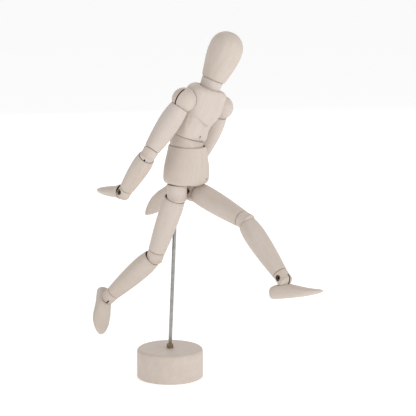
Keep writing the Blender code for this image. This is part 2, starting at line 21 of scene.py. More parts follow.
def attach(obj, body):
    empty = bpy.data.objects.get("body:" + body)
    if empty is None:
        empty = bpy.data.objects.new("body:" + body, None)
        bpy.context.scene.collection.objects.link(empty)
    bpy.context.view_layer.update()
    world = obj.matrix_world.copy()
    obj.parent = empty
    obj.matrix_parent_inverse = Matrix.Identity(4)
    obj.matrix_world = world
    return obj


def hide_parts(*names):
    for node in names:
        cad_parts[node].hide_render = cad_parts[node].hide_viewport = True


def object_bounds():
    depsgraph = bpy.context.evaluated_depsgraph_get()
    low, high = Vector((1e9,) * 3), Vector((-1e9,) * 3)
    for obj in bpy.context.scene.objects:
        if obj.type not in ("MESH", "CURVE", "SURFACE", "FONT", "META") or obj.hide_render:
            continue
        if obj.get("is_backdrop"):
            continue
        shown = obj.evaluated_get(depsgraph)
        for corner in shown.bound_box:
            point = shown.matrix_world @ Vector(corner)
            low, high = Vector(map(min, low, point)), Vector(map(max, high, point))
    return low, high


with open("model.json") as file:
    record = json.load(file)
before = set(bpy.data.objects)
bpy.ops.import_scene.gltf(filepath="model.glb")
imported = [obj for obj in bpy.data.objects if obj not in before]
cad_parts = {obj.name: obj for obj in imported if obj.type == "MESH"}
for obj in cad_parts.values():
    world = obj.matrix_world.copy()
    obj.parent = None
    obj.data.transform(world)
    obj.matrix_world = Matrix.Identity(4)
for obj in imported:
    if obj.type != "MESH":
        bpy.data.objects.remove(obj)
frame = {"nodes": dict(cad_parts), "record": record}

MM = 0.001
GAP = 0.3  # between two parts that turn on each other, in millimetres
CUP = 0.25  # how much wider a cup is than the dome in it
SAW = 1.15  # width of a joint's slot
HEAD = 2.2  # half the room that a rivet's head takes up
Point = tuple[float, float]
log = logging.getLogger("manikin")


class Side(Enum):
    """The figure's own right and left."""

    RIGHT = -1
    LEFT = 1

    @property
    def label(self) -> str:
        """The word that starts the side's node names."""
        return self.name.lower()


class Stuff(Enum):
    """The record's material slots."""

    WOOD = "birch"
    STEEL = "rod_steel"
    BRASS = "socket_brass"
    BRONZE = "rivet_bronze"


class Grain(Enum):
    """Which way a piece's grain runs in its own frame."""

    LENGTHWISE = 0
    FORWARD = 1
    CROSSWISE = 2

    def lay(self, point: Vector) -> Vector:
        """Turns a point so that the grain runs along the last axis.

        Args:
            point: A place in the piece's own frame.

        Returns:
            The same place with its axes shuffled.
        """
        if self is Grain.FORWARD:
            return Vector((point.x, point.z, point.y))
        if self is Grain.CROSSWISE:
            return Vector((point.y, point.z, point.x))
        return point.copy()


# --------------------------------------------------------------------------- joints and places


@dataclass(frozen=True)
class Seat:
    """A frame in the model that a piece is put in."""

    matrix: Matrix

    @classmethod
    def facing(cls, origin: Vector, x: Vector, z: Vector) -> "Seat":
        """Makes a square frame from an origin and two directions.

        Args:
            origin: The frame's origin, in metres.
            x: Roughly the first axis.
            z: Exactly the last axis.

        Returns:
            The frame.
        """
        up = z.normalized()
        back = up.cross(x).normalized()
        right = back.cross(up)
        turned = Matrix((right, back, up)).transposed().to_4x4()
        return cls(Matrix.Translation(origin) @ turned)

    def moved(self, x: float = 0.0, y: float = 0.0, z: float = 0.0) -> "Seat":
        """The frame shifted along its own axes, in millimetres."""
        return Seat(self.matrix @ Matrix.Translation(Vector((x, y, z)) * MM))


class Joints:
    """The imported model's hinges and the body of each node."""

    def __init__(self, record: dict) -> None:
        """Reads the record's moving parts.

        Args:
            record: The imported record.
        """
        behaviour = record["behaviour"]
        self._hinges = {hinge["name"]: hinge for hinge in behaviour["joints"]}
        self._body = {node: body for body, nodes in behaviour["bodies"].items() for node in nodes}

    def place(self, name: str) -> Vector:
        """A hinge's place, in metres."""
        return Vector(self._hinges[name]["pos_m"])

    def axis(self, name: str) -> Vector:
        """A hinge's axis."""
        return Vector(self._hinges[name]["axis"]).normalized()

    def body(self, node: str) -> str:
        """The body that a node belongs to."""
        return self._body[node]

    def seat(self, at: str, x: str, z: str) -> Seat:
        """A frame at one hinge, along the axes of two.

        Args:
            at: The hinge at the origin.
            x: The hinge whose axis is X.
            z: The hinge whose axis is Z.

        Returns:
            The frame.
        """
        return Seat.facing(self.place(at), self.axis(x), self.axis(z))

    def reach(self, node: str, start: Vector) -> Vector:
        """The direction from a point to a node's farthest corner.

        Args:
            node: The node's name.
            start: The point, in metres.

        Returns:
            The unit direction.
        """
        corners = (vertex.co for vertex in frame["nodes"][node].data.vertices)
        farthest = max(corners, key=lambda corner: (corner - start).length)
        return (farthest - start).normalized()


JOINTS = Joints(frame["record"])


# --------------------------------------------------------------------------- shader groups


class NodeBench:
    """Adds nodes to one tree and joins them."""

    def __init__(self, tree: bpy.types.NodeTree) -> None:
        """Takes the tree to work in."""
        self.tree = tree

    @classmethod
    def begin(cls, kind: str, name: str, inputs: dict[str, tuple[str, object]],
              outputs: dict[str, str]) -> tuple["NodeBench", bpy.types.Node]:
        """Begins a node group with its sockets.

        Args:
            kind: The tree's type name.
            name: The group's name.
            inputs: Socket name to kind and usual value.
            outputs: Socket name to kind.

        Returns:
            A bench in the tree and the tree's input node.
        """
        tree = bpy.data.node_groups.new(name, kind)
        for label, (socket_kind, value) in inputs.items():
            socket = tree.interface.new_socket(label, in_out="INPUT", socket_type=socket_kind)
            if value is not None:
                socket.default_value = value
        for label, socket_kind in outputs.items():
            tree.interface.new_socket(label, in_out="OUTPUT", socket_type=socket_kind)
        return cls(tree), tree.nodes.new("NodeGroupInput")

    def end(self, *sockets: bpy.types.NodeSocket) -> bpy.types.NodeTree:
        """Ends a node group with its outputs and hands it over."""
        self.add("NodeGroupOutput", dict(enumerate(sockets)))
        return self.tree

    def fill(self, node: bpy.types.Node, inputs: dict) -> None:
        """Sets a node's inputs.

        Args:
            node: The node.
            inputs: Socket name or number to a value, or to another node's socket.
        """
        for key, value in inputs.items():
            if isinstance(value, bpy.types.NodeSocket):
                self.tree.links.new(value, node.inputs[key])
            else:
                node.inputs[key].default_value = value

    def add(self, kind: str, inputs: dict | None = None, **settings: object) -> bpy.types.Node:
        """Adds a node.

        Args:
            kind: The node's type name.
            inputs: What its inputs are set to, as for fill.
            **settings: The node's own properties.

        Returns:
            The node.
        """
        node = self.tree.nodes.new(kind)
        for key, value in settings.items():
            setattr(node, key, value)
        self.fill(node, inputs or {})
        return node

    def math(self, operation: str, *terms: object) -> bpy.types.NodeSocket:
        """The result of a Math node, its terms being numbers or sockets."""
        return self.add("ShaderNodeMath", dict(enumerate(terms)), operation=operation).outputs[0]

    def times(self, a: object, b: object) -> bpy.types.NodeSocket:
        """Two numbers or sockets multiplied."""
        return self.math("MULTIPLY", a, b)

    def blend(self, share: object, a: object, b: object) -> bpy.types.NodeSocket:
        """Two colours mixed, with this share of the second."""
        return self.add("ShaderNodeMix", {0: share, 6: a, 7: b}, data_type="RGBA").outputs[2]

    def spread(self, value: object, low: float, high: float) -> bpy.types.NodeSocket:
        """A value stretched from low..high to 0..1, and held there."""
        inputs = {"Value": value, "From Min": low, "From Max": high}
        return self.add("ShaderNodeMapRange", inputs, clamp=True).outputs[0]

    def noise(self, vector: object, scale: object, detail: float = 2.0) -> bpy.types.NodeSocket:
        """A Noise Texture's value at a place, by its fineness and number of layers."""
        inputs = {"Vector": vector, "Scale": scale, "Detail": detail, "Roughness": 0.55}
        return self.add("ShaderNodeTexNoise", inputs).outputs[0]

    def stretched(self, vector: object, scale: tuple[float, float, float]) -> bpy.types.NodeSocket:
        """A place with its axes scaled."""
        return self.add("ShaderNodeMapping", {"Vector": vector, "Scale": scale}).outputs[0]


class ShaderGroups:
    """The node groups that several finishes share, each built once."""

    @staticmethod
    @cache
    def long_grain() -> bpy.types.NodeTree:
        """Fine straight grain along Z: broad bands, thin fibres and short pores.

        Returns:
            The group.
        """
        number = "NodeSocketFloat"
        inputs = {"Vector": ("NodeSocketVector", None), "Band Width": (number, 4.0),
                  "Fibre Width": (number, 0.5), "Pore Share": (number, 0.3)}
        outputs = {"Bands": number, "Fibres": number, "Pores": number}
        bench, given = NodeBench.begin("ShaderNodeTree", "long_grain", inputs, outputs)
        place, band_width, fibre_width, pore_share = (given.outputs[i] for i in range(4))
        wander = bench.add("ShaderNodeTexNoise", {"Vector": place, "Scale": 0.03, "Detail": 1.0})
        shift = bench.add("ShaderNodeVectorMath", {0: wander.outputs["Color"], 1: (9.0, 9.0, 0.0)},
                          operation="MULTIPLY").outputs[0]
        bent = bench.add("ShaderNodeVectorMath", {0: place, 1: shift}, operation="ADD").outputs[0]
        broad, thin, short = (bench.stretched(bent, scale) for scale in (
            (1.0, 0.45, 0.035), (1.0, 1.0, 0.03), (1.0, 1.0, 0.12)))
        bands = bench.noise(broad, bench.math("DIVIDE", 1.0, band_width), 3.0)
        fibres = bench.noise(thin, bench.math("DIVIDE", 1.0, fibre_width))
        edge = bench.math("SUBTRACT", 0.82, bench.times(pore_share, 0.25))
        pores = bench.math("GREATER_THAN", bench.noise(short, 4.0, 0.0), edge)
        return bench.end(bench.spread(bands, 0.3, 0.7), bench.spread(fibres, 0.28, 0.72), pores)

    @staticmethod
    @cache
    def handling() -> bpy.types.NodeTree:
        """Where hands and tools have marked a surface: soft clouds and a few faint spots.

        Returns:
            The group.
        """
        number = "NodeSocketFloat"
        inputs = {"Vector": ("NodeSocketVector", None), "Cloud Size": (number, 18.0), "Amount": (number, 0.5)}
        outputs = {"Clouds": number, "Spots": number}
        bench, given = NodeBench.begin("ShaderNodeTree", "handling", inputs, outputs)
        place, size, amount = (given.outputs[i] for i in range(3))
        clouds = bench.noise(place, bench.math("DIVIDE", 1.0, size), 4.0)
        spots = bench.add("ShaderNodeTexVoronoi", {"Vector": place, "Scale": 0.16})
        near = bench.spread(spots.outputs["Distance"], 0.14, 0.02)
        return bench.end(bench.times(bench.spread(clouds, 0.42, 0.75), amount), bench.times(near, amount))


# --------------------------------------------------------------------------- finishes


class Finish:
    """A finish that makes its material once."""

    stuff: Stuff
    name: str

    def material(self) -> bpy.types.Material:
        """The finish's material.

        Returns:
            The material, made on the first call.
        """
        made = bpy.data.materials.get(self.name)
        if made is None:
            made = bpy.data.materials.new(self.name)
            made.use_nodes = True
            shader = made.node_tree.nodes["Principled BSDF"]
            self._dress(NodeBench(made.node_tree), shader)
        return made

    def _dress(self, bench: NodeBench, shader: bpy.types.Node) -> None:
        """Wires the finish into a Principled shader."""
        raise NotImplementedError


@dataclass(frozen=True)
class SandedWood(Finish):
    """Pale close-grained wood, turned, sanded and left bare."""

    name: str = "sanded_wood"
    stuff: Stuff = Stuff.WOOD
    pale: tuple = (0.64, 0.572, 0.53, 1.0)
    tan: tuple = (0.575, 0.487, 0.41, 1.0)
    # dark brown of the pores and handling spots, also painted along the rims as seam shade, partly standing
    # for edge wear
    pore: tuple = (0.36, 0.255, 0.18, 1.0)
    # painted shade: near-black colour for the faces inside seats, slots and bores, where shade falls
    hollow: tuple = (0.085, 0.05, 0.028, 1.0)
    handled: tuple = (0.575, 0.475, 0.41, 1.0)
    band_width: float = 3.2
    fibre_width: float = 0.42
    roughness: float = 0.56

    def _dress(self, bench: NodeBench, shader: bpy.types.Node) -> None:
        """Wires grain, pores, handling, painted shade in the hollows and painted seam shade at the rims,
        partly standing for edge wear, into the shader.

        Args:
            bench: The bench in the material's tree.
            shader: The Principled shader.
        """
        grain = bench.add("ShaderNodeAttribute", attribute_name="grain").outputs["Vector"]
        tone, hollow, rim = (bench.add("ShaderNodeAttribute", attribute_name=label).outputs["Fac"]
                             for label in ("tone", "hollow", "rim"))
        widths = {"Band Width": self.band_width, "Fibre Width": self.fibre_width}
        lines = bench.add("ShaderNodeGroup", node_tree=ShaderGroups.long_grain())
        bench.fill(lines, {"Vector": grain, **widths})
        bands, fibres, pores = (lines.outputs[i] for i in range(3))
        hands = bench.add("ShaderNodeGroup", node_tree=ShaderGroups.handling())
        bench.fill(hands, {"Vector": grain, "Amount": 0.45})
        mix = bench.math("ADD", bench.times(bands, 0.55), bench.times(fibres, 0.28))
        mix = bench.math("ADD", mix, bench.times(tone, 0.30))
        colour = bench.blend(bench.spread(mix, 0.05, 1.05), self.pale, self.tan)
        # painted shade: the rim mask darkens the seams at the pieces' ends, partly as edge wear, and the
        # hollow mask turns seats, slots and bores near-black
        for mask, share, tint in ((hands.outputs[0], 0.5, self.handled), (pores, 0.35, self.pore),
                                  (hands.outputs[1], 0.30, self.pore), (rim, 0.30, self.pore),
                                  (hollow, 0.93, self.hollow)):
            colour = bench.blend(bench.times(mask, share), colour, tint)
        rough = bench.math("ADD", self.roughness - 0.05, bench.times(fibres, 0.12))
        height = bench.math("SUBTRACT", bench.times(fibres, 0.5), pores)
        bump = bench.add("ShaderNodeBump", {"Height": height, "Strength": 0.18, "Distance": 0.00006})
        bench.fill(shader, {"Base Color": colour, "Roughness": rough, "Normal": bump.outputs[0],
                            "Specular IOR Level": 0.32})


@dataclass(frozen=True)
class DrawnMetal(Finish):
    """Plain metal with fine scratches and a little tarnish."""

    name: str
    stuff: Stuff
    bright: tuple
    dull: tuple
    roughness: float
    scratch: float = 0.12
    tarnish_size: float = 260.0

    def _dress(self, bench: NodeBench, shader: bpy.types.Node) -> None:
        """Wires scratches and tarnish into the shader.

        Args:
            bench: The bench in the material's tree.
            shader: The Principled shader.
        """
        place = bench.add("ShaderNodeTexCoord").outputs["Object"]
        clouds = bench.noise(place, self.tarnish_size, 4.0)
        lines = bench.noise(bench.stretched(place, (2600.0, 2600.0, 140.0)), 1.0)
        colour = bench.blend(bench.spread(clouds, 0.38, 0.68), self.bright, self.dull)
        rough = bench.math("ADD", self.roughness, bench.times(lines, self.scratch))
        bump = bench.add("ShaderNodeBump", {"Height": lines, "Strength": 0.15, "Distance": 0.00003})
        bench.fill(shader, {"Base Color": colour, "Roughness": rough, "Normal": bump.outputs[0],
                            "Metallic": 1.0})


WOOD = SandedWood()
STEEL = DrawnMetal("drawn_steel", Stuff.STEEL, (0.36, 0.35, 0.34, 1), (0.27, 0.26, 0.25, 1), 0.20)
BRASS = DrawnMetal("dull_brass", Stuff.BRASS, (0.40, 0.31, 0.19, 1), (0.24, 0.18, 0.11, 1), 0.30)
BRONZE = DrawnMetal("dark_bronze", Stuff.BRONZE, (0.20, 0.15, 0.10, 1), (0.07, 0.05, 0.035, 1), 0.36)
LINK_STEEL = DrawnMetal("link_steel", Stuff.STEEL, (0.28, 0.26, 0.24, 1), (0.12, 0.105, 0.09, 1), 0.42)


# --------------------------------------------------------------------------- shaping


def arc(radius: float, start: float, end: float, steps: int, middle: Point = (0.0, 0.0)) -> list[Point]:
    """A round stretch of a profile.

    Args:
        radius: Its radius.
        start: First angle in degrees, from +Z towards +X.
        end: Last angle.
        steps: How many straight pieces.
        middle: Its centre.

    Returns:
        Radius and height pairs.
    """
    angles = (math.radians(start + (end - start) * i / steps) for i in range(steps + 1))
    return [(middle[0] + radius * math.sin(a), middle[1] + radius * math.cos(a)) for a in angles]


def flowing(values: Sequence[Sequence[float]], spans: int) -> list[list[float]]:
    """Rows eased through given rows, the first number of each row being its place.

    Args:
        values: Rows in order of their first number.
        spans: How many steps between neighbouring rows.

    Returns:
        The finer rows.
    """
    count = len(values)
    rows = []
    for i in range(count - 1):
        before, here = values[max(i - 1, 0)], values[i]
        after, beyond = values[i + 1], values[min(i + 2, count - 1)]
        for step in range(spans):
            t = step / spans
            row = []
            for a, b, c, d in zip(before, here, after, beyond):
                slope_b = _slope((before[0], a), (here[0], b), (after[0], c)) * (after[0] - here[0])
                slope_c = _slope((here[0], b), (after[0], c), (beyond[0], d)) * (after[0] - here[0])
                row.append((2 * t**3 - 3 * t**2 + 1) * b + (t**3 - 2 * t**2 + t) * slope_b
                           + (3 * t**2 - 2 * t**3) * c + (t**3 - t**2) * slope_c)
            rows.append(row)
    rows.append(list(values[-1]))
    return rows


def _slope(before: Point, here: Point, after: Point) -> float:
    """The slope at the middle of three places and values, flat where they turn back.

    Args:
        before: First place and value, which may be the middle one again.
        here: Middle place and value.
        after: Last place and value, which may be the middle one again.

    Returns:
        The slope.
    """
    slopes = [(b[1] - a[1]) / (b[0] - a[0]) for a, b in ((before, here), (here, after)) if a[0] != b[0]]
    if len(slopes) == 1:
        return slopes[0]
    left, right = slopes
    return 2 * left * right / (left + right) if left * right > 0 else 0.0


def ease(value: float, low: float, high: float) -> float:
    """A smooth step from 0 at low to 1 at high."""
    share = min(1.0, max(0.0, (value - low) / (high - low)))
    return share * share * (3 - 2 * share)


@dataclass(frozen=True)
class Run:
    """A stretch of a turned profile: radius and height pairs, inside a hollow or not."""

    points: Sequence[Point]
    hollow: bool = False


def level_ring(height: float, radius: float) -> tuple[float, float, float, float, float]:
    """A round ring for a drawn skin."""
    return height, radius, radius, radius, 2.0


class Workpiece:
    """A piece on the bench: a closed mesh in its own frame, in millimetres.

    Faces with material index 1 lie in a hollow, such as a seat, a slot or a bore; the wood finish paints them
    near-black as shade.
    """

    def __init__(self, mesh: bpy.types.Mesh) -> None:
        """Takes the mesh to work on."""
        self.mesh = mesh

    @classmethod
    def _from_bmesh(cls, bm: bmesh.types.BMesh, name: str) -> "Workpiece":
        """Closes a bmesh and makes it a workpiece.

        Args:
            bm: The faces so far.
            name: The mesh's name.

        Returns:
            The workpiece.
        """
        bmesh.ops.remove_doubles(bm, verts=bm.verts, dist=0.0005)
        bmesh.ops.recalc_face_normals(bm, faces=bm.faces)
        if bm.calc_volume(signed=True) < 0:
            bmesh.ops.reverse_faces(bm, faces=bm.faces)
        mesh = bpy.data.meshes.new(name)
        bm.to_mesh(mesh)
        bm.free()
        return cls(mesh)

    @classmethod
    def turned(cls, name: str, runs: Sequence[Run], around: int = 64) -> "Workpiece":
        """Turns a profile on the lathe.

        Args:
            name: The mesh's name.
            runs: The profile from the axis round to the axis.
            around: How many steps there are in a turn.

        Returns:
            The workpiece.
        """
        stops = [(radius, height, run.hollow) for run in runs for radius, height in run.points]
        angles = [2 * math.pi * i / around for i in range(around)]
        turn = [(math.cos(angle), math.sin(angle)) for angle in angles]
        bm = bmesh.new()
        rings = []
        for radius, height, _ in stops:
            if radius < 1e-6:
                rings.append([bm.verts.new((0, 0, height))] * around)
            else:
                rings.append([bm.verts.new((radius * x, radius * y, height)) for x, y in turn])
        for i in range(len(rings) - 1):
            for j in range(around):
                k = (j + 1) % around
                corners = []
                for vert in (rings[i][j], rings[i][k], rings[i + 1][k], rings[i + 1][j]):
                    if vert not in corners:
                        corners.append(vert)
                if len(corners) > 2:
                    face = bm.faces.new(corners)
                    face.material_index = int(stops[i][2] and stops[i + 1][2])
        return cls._from_bmesh(bm, name)

    @classmethod
    def lofted(cls, name: str, rows: Sequence[Sequence[float]], around: int = 96, spans: int = 6,
               relief: Callable[[Vector], Vector] | None = None) -> "Workpiece":
        """Draws a skin through level rings.

        Args:
            name: The mesh's name.
            rows: Height, half width, front depth, back depth and squareness of each ring.
            around: How many corners a ring has.
            spans: How many rings are eased in between two given ones.
            relief: Moves a point of the skin, for ridges and scoops.

        Returns:
            The workpiece.
        """
        bm = bmesh.new()
        rings = []
        for height, half, front, back, square in flowing(rows, spans):
            ring = []
            for i in range(around):
                angle = 2 * math.pi * i / around
                c, s = math.cos(angle), math.sin(angle)
                depth = back if s > 0 else front
                point = Vector((half * math.copysign(abs(c) ** (2 / square), c),
                                depth * math.copysign(abs(s) ** (2 / square), s), height))
                ring.append(bm.verts.new(relief(point) if relief else point))
            rings.append(ring)
        for low, high in zip(rings, rings[1:]):
            for i in range(around):
                j = (i + 1) % around
                bm.faces.new((low[i], low[j], high[j], high[i]))
        for ring in (rings[0], rings[-1]):
            middle = bm.verts.new(sum((vert.co for vert in ring), Vector()) / around)
            for i in range(around):
                bm.faces.new((ring[i], ring[(i + 1) % around], middle))
        return cls._from_bmesh(bm, name)

    @classmethod
    def plate(cls, name: str, outline: Sequence[Point], thickness: float) -> "Workpiece":
        """A flat plate across X, from an outline in Y and Z.

        Args:
            name: The mesh's name.
            outline: The corners in order.
            thickness: From face to face.

        Returns:
            The workpiece, all of it marked as hollow, because it is a saw cut.
        """
        bm = bmesh.new()
        faces = []
        for x in (-thickness / 2, thickness / 2):
            faces.append(bm.faces.new([bm.verts.new((x, y, z)) for y, z in outline]))
        near, far = (list(face.verts) for face in faces)
        for i in range(len(outline)):
            j = (i + 1) % len(outline)
            bm.faces.new((near[i], near[j], far[j], far[i]))
        bmesh.ops.triangulate(bm, faces=faces)
        for face in bm.faces:
            face.material_index = 1
        return cls._from_bmesh(bm, name)

    def placed(self, matrix: Matrix) -> "Workpiece":
        """Moves the workpiece within its frame, in millimetres."""
        self.mesh.transform(matrix)
        return self

    def cut(self, *tools: "Workpiece") -> "Workpiece":
        """Cuts the workpiece with others and marks the cut faces as hollow.

        Args:
            *tools: What is taken away.

        Returns:
            The workpiece itself.
        """
        for tool in tools:
            for polygon in tool.mesh.polygons:
                polygon.material_index = 1
            for piece in (self, tool):
                while len(piece.mesh.materials) < 2:
                    piece.mesh.materials.append(None)
            body = bpy.data.objects.new("workpiece", self.mesh)
            cutter = bpy.data.objects.new("tool", tool.mesh)
            for obj in (body, cutter):
                bpy.context.scene.collection.objects.link(obj)
            boolean = body.modifiers.new("Cut", "BOOLEAN")
            boolean.object = cutter
            boolean.operation = "DIFFERENCE"
            boolean.solver = "EXACT"
            bpy.context.view_layer.update()
            evaluated = body.evaluated_get(bpy.context.evaluated_depsgraph_get())
            self.mesh = bpy.data.meshes.new_from_object(evaluated)
            for obj in (body, cutter):
                bpy.data.objects.remove(obj)
        return self

    def install(self, node: str, seat: Seat, finish: Finish, grain: Grain = Grain.LENGTHWISE,
                rims: Sequence[Callable[[Vector], float]] = ()) -> bpy.types.Object:
        """Finishes the piece and puts it in the model in place of its node.

        Args:
            node: The node it stands for; the piece takes its name.
            seat: The frame it is put in.
            finish: Its finish.
            grain: Which way its grain runs.
            rims: How near a point is to a seam at an edge, where shade is painted in, partly standing for
                edge wear, 0 to 1.

        Returns:
            The finished object.
        """
        mesh = self.mesh
        # faces in seats, slots and bores get the hollow mask and the rim marks get the rim mask; the wood
        # finish paints shade with both
        hollow = [polygon.material_index == 1 for polygon in mesh.polygons]
        mesh.materials.clear()
        mesh.materials.append(finish.material())
        for label, kind, domain in (("hollow", "FLOAT", "CORNER"), ("rim", "FLOAT", "POINT"),
                                    ("grain", "FLOAT_VECTOR", "POINT"), ("tone", "FLOAT", "POINT")):
            mesh.attributes.new(label, kind, domain)
        marks, rim_wear_and_shade = mesh.attributes["hollow"], mesh.attributes["rim"]
        lay, tones = mesh.attributes["grain"], mesh.attributes["tone"]
        letters = sum(ord(letter) * (i + 1) for i, letter in enumerate(node))
        offset = Vector((letters % 89 * 7.3, letters % 53 * 5.1, letters % 37 * 11.7))
        tone = letters % 17 / 16
        for polygon in mesh.polygons:
            polygon.material_index = 0
            for loop in polygon.loop_indices:
                marks.data[loop].value = float(hollow[polygon.index])
        for vertex in mesh.vertices:
            lay.data[vertex.index].vector = grain.lay(vertex.co) + offset
            tones.data[vertex.index].value = tone
            rim_wear_and_shade.data[vertex.index].value = max((rim(vertex.co) for rim in rims), default=0.0)
        mesh.shade_smooth()
        mesh.set_sharp_from_angle(angle=math.radians(34))
        mesh.transform(seat.matrix @ Matrix.Scale(MM, 4))
        obj = bpy.data.objects.new(f"{node}_finished", mesh)
        bpy.context.scene.collection.objects.link(obj)
        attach(obj, JOINTS.body(node))
        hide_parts(node)
        log.info("%s: %d faces", node, len(mesh.polygons))
        return obj


def near_height(height: float, width: float) -> Callable[[Vector], float]:
    """A rim mark that fades away from a height: painted shade at a seam between parts, partly standing for
    edge wear.

    Args:
        height: Where the edge is.
        width: How far the mark reaches.

    Returns:
        The mark's strength at a point.
    """
    return lambda point: max(0.0, 1.0 - abs(point.z - height) / width)


def dress_node(node: str, finish: Finish) -> None:
    """Gives a node that stays as it is a better finish.

    Args:
        node: The node's name.
        finish: Its finish.
    """
    obj = frame["nodes"][node]
    for slot in obj.material_slots:
        slot.material = finish.material()
    log.info("%s: kept", node)


# --------------------------------------------------------------------------- geometry nodes


class GrownParts:
    """Parts that node trees make: hollow rivets and close-wound springs."""

    def __init__(self) -> None:
        """Builds the trees."""
        self._rivets = self._rivet_tree()
        self._coils = self._coil_tree()

    @staticmethod
    def _begin(name: str, sizes: dict[str, float]) -> tuple[NodeBench, dict[str, bpy.types.NodeSocket]]:
        """Begins a tree with a geometry input, named sizes and a finish.

        Args:
            name: The tree's name.
            sizes: Input name to usual value.

        Returns:
            A bench in the tree and its inputs by name.
        """
        shape = "NodeSocketGeometry"
        numbers = {label: ("NodeSocketFloat", size) for label, size in sizes.items()}
        inputs = {"Geometry": (shape, None), **numbers, "Finish": ("NodeSocketMaterial", None)}
        bench, given = NodeBench.begin("GeometryNodeTree", name, inputs, {"Geometry": shape})
        return bench, {label: given.outputs[label] for label in inputs}

    @staticmethod
    def _end(bench: NodeBench, given: dict[str, bpy.types.NodeSocket], part: bpy.types.Node,
             **turned: bpy.types.NodeSocket) -> bpy.types.NodeTree:
        """Puts a part on each point and ends the tree in Realize Instances and Set Material.

        Args:
            bench: The bench in the tree.
            given: The tree's inputs.
            part: The node that makes the part.
            **turned: The part's rotation, if it has one.

        Returns:
            The tree.
        """
        spots = bench.add("GeometryNodeInstanceOnPoints",
                          {"Points": given["Geometry"], "Instance": part.outputs[0], **turned})
        real = bench.add("GeometryNodeRealizeInstances", {"Geometry": spots.outputs[0]})
        inputs = {"Geometry": real.outputs[0], "Material": given["Finish"]}
        return bench.end(bench.add("GeometryNodeSetMaterial", inputs).outputs[0])

    @classmethod
    def _rivet_tree(cls) -> bpy.types.NodeTree:
        """A hollow rivet at each point, its open head along the point's aim.

        Returns:
            The tree.
        """
        sizes = {"Head": 2.1, "Shank": 1.3, "Hollow": 1.0, "Lip": 0.28, "Length": 9.0, "Depth": 2.6}
        bench, given = cls._begin("hollow_rivet", sizes)

        def lowered(part: bpy.types.Node, drop: object) -> bpy.types.NodeSocket:
            """Moves a part along Z.

            Args:
                part: The node that makes it.
                drop: How far it goes.

            Returns:
                The moved part.
            """
            where = bench.add("ShaderNodeCombineXYZ", {2: drop}).outputs[0]
            inputs = {"Geometry": part.outputs[0], "Translation": where}
            return bench.add("GeometryNodeTransform", inputs).outputs[0]

        def rod(radius: object, length: object, sink: object) -> bpy.types.NodeSocket:
            """A cylinder whose top is sunk below the head's face."""
            made = bench.add("GeometryNodeMeshCylinder", {"Vertices": 40, "Radius": radius, "Depth": length})
            return lowered(made, bench.math("MULTIPLY_ADD", length, -0.5, bench.times(sink, -1.0)))

        lip = given["Lip"]
        inner = bench.math("SUBTRACT", given["Head"], lip)
        rail = bench.add("GeometryNodeCurvePrimitiveCircle", {"Resolution": 40, "Radius": inner})
        bead = bench.add("GeometryNodeCurvePrimitiveCircle", {"Resolution": 12, "Radius": lip})
        ring = bench.add("GeometryNodeCurveToMesh", {
            "Curve": rail.outputs[0], "Profile Curve": bead.outputs[0]})
        whole = bench.add("GeometryNodeMeshBoolean", operation="UNION", solver="EXACT")
        for part in (lowered(ring, bench.times(lip, -1.0)), rod(inner, 0.42, lip),
                     rod(given["Shank"], given["Length"], 0.45)):
            bench.tree.links.new(part, whole.inputs["Mesh 2"])
        drill = rod(given["Hollow"], given["Depth"], -0.6)
        bored = bench.add("GeometryNodeMeshBoolean", {"Mesh 1": whole.outputs[0], "Mesh 2": drill},
                          operation="DIFFERENCE", solver="EXACT")
        aim = bench.add("GeometryNodeInputNamedAttribute", {"Name": "aim"}, data_type="FLOAT_VECTOR")
        turn = bench.add("FunctionNodeAlignRotationToVector", {"Vector": aim.outputs[0]}, axis="Z")
        return cls._end(bench, given, bored, Rotation=turn.outputs[0])

    @classmethod
    def _coil_tree(cls) -> bpy.types.NodeTree:
        """A close-wound spring that stands on each point.

        Returns:
            The tree.
        """
        sizes = {"Radius": 1.8, "Wire": 0.35, "Height": 14.0, "Turns": 18.0}
        bench, given = cls._begin("close_wound_spring", sizes)
        coil = bench.add("GeometryNodeCurveSpiral", {
            "Resolution": 20, "Rotations": given["Turns"], "Start Radius": given["Radius"],
            "End Radius": given["Radius"], "Height": given["Height"]})
        wire = bench.add("GeometryNodeCurvePrimitiveCircle", {"Resolution": 8, "Radius": given["Wire"]})
        solid = bench.add("GeometryNodeCurveToMesh", {
            "Curve": coil.outputs[0], "Profile Curve": wire.outputs[0], "Fill Caps": True})
        return cls._end(bench, given, solid)

    @staticmethod
    def _grow(tree: bpy.types.NodeTree, finish: Finish, sizes: dict[str, float],
              points: Sequence[Vector], aims: Sequence[Vector]) -> Workpiece:
        """Runs a tree on points and keeps the plain mesh.

        Args:
            tree: The tree.
            finish: The finish it sets.
            sizes: Input name to value.
            points: Where the parts stand.
            aims: Which way each one points.

        Returns:
            The workpiece.
        """
        mesh = bpy.data.meshes.new("points")
        mesh.from_pydata(points, [], [])
        aim = mesh.attributes.new("aim", "FLOAT_VECTOR", "POINT")
        for i, direction in enumerate(aims):
            aim.data[i].vector = direction
        holder = bpy.data.objects.new("holder", mesh)
        bpy.context.scene.collection.objects.link(holder)
        modifier = holder.modifiers.new("Grow", "NODES")
        modifier.node_group = tree
        named = {item.name: item.identifier for item in tree.interface.items_tree if item.in_out == "INPUT"}
        for label, value in sizes.items():
            modifier[named[label]] = value
        modifier[named["Finish"]] = finish.material()
        bpy.context.view_layer.update()
        evaluated = holder.evaluated_get(bpy.context.evaluated_depsgraph_get())
        grown = bpy.data.meshes.new_from_object(evaluated)
        holder.modifiers.remove(modifier)
        bpy.data.objects.remove(holder)
        return Workpiece(grown)

    def rivet(self, at: float, aim: Vector, length: float) -> Workpiece:
        """One hollow rivet.

        Args:
            at: How far its head stands from the drum's middle.
            aim: Which way the head points.
            length: Its length.

        Returns:
            The workpiece.
        """
        return self._grow(self._rivets, BRONZE, {"Length": length}, [aim * at], [aim])

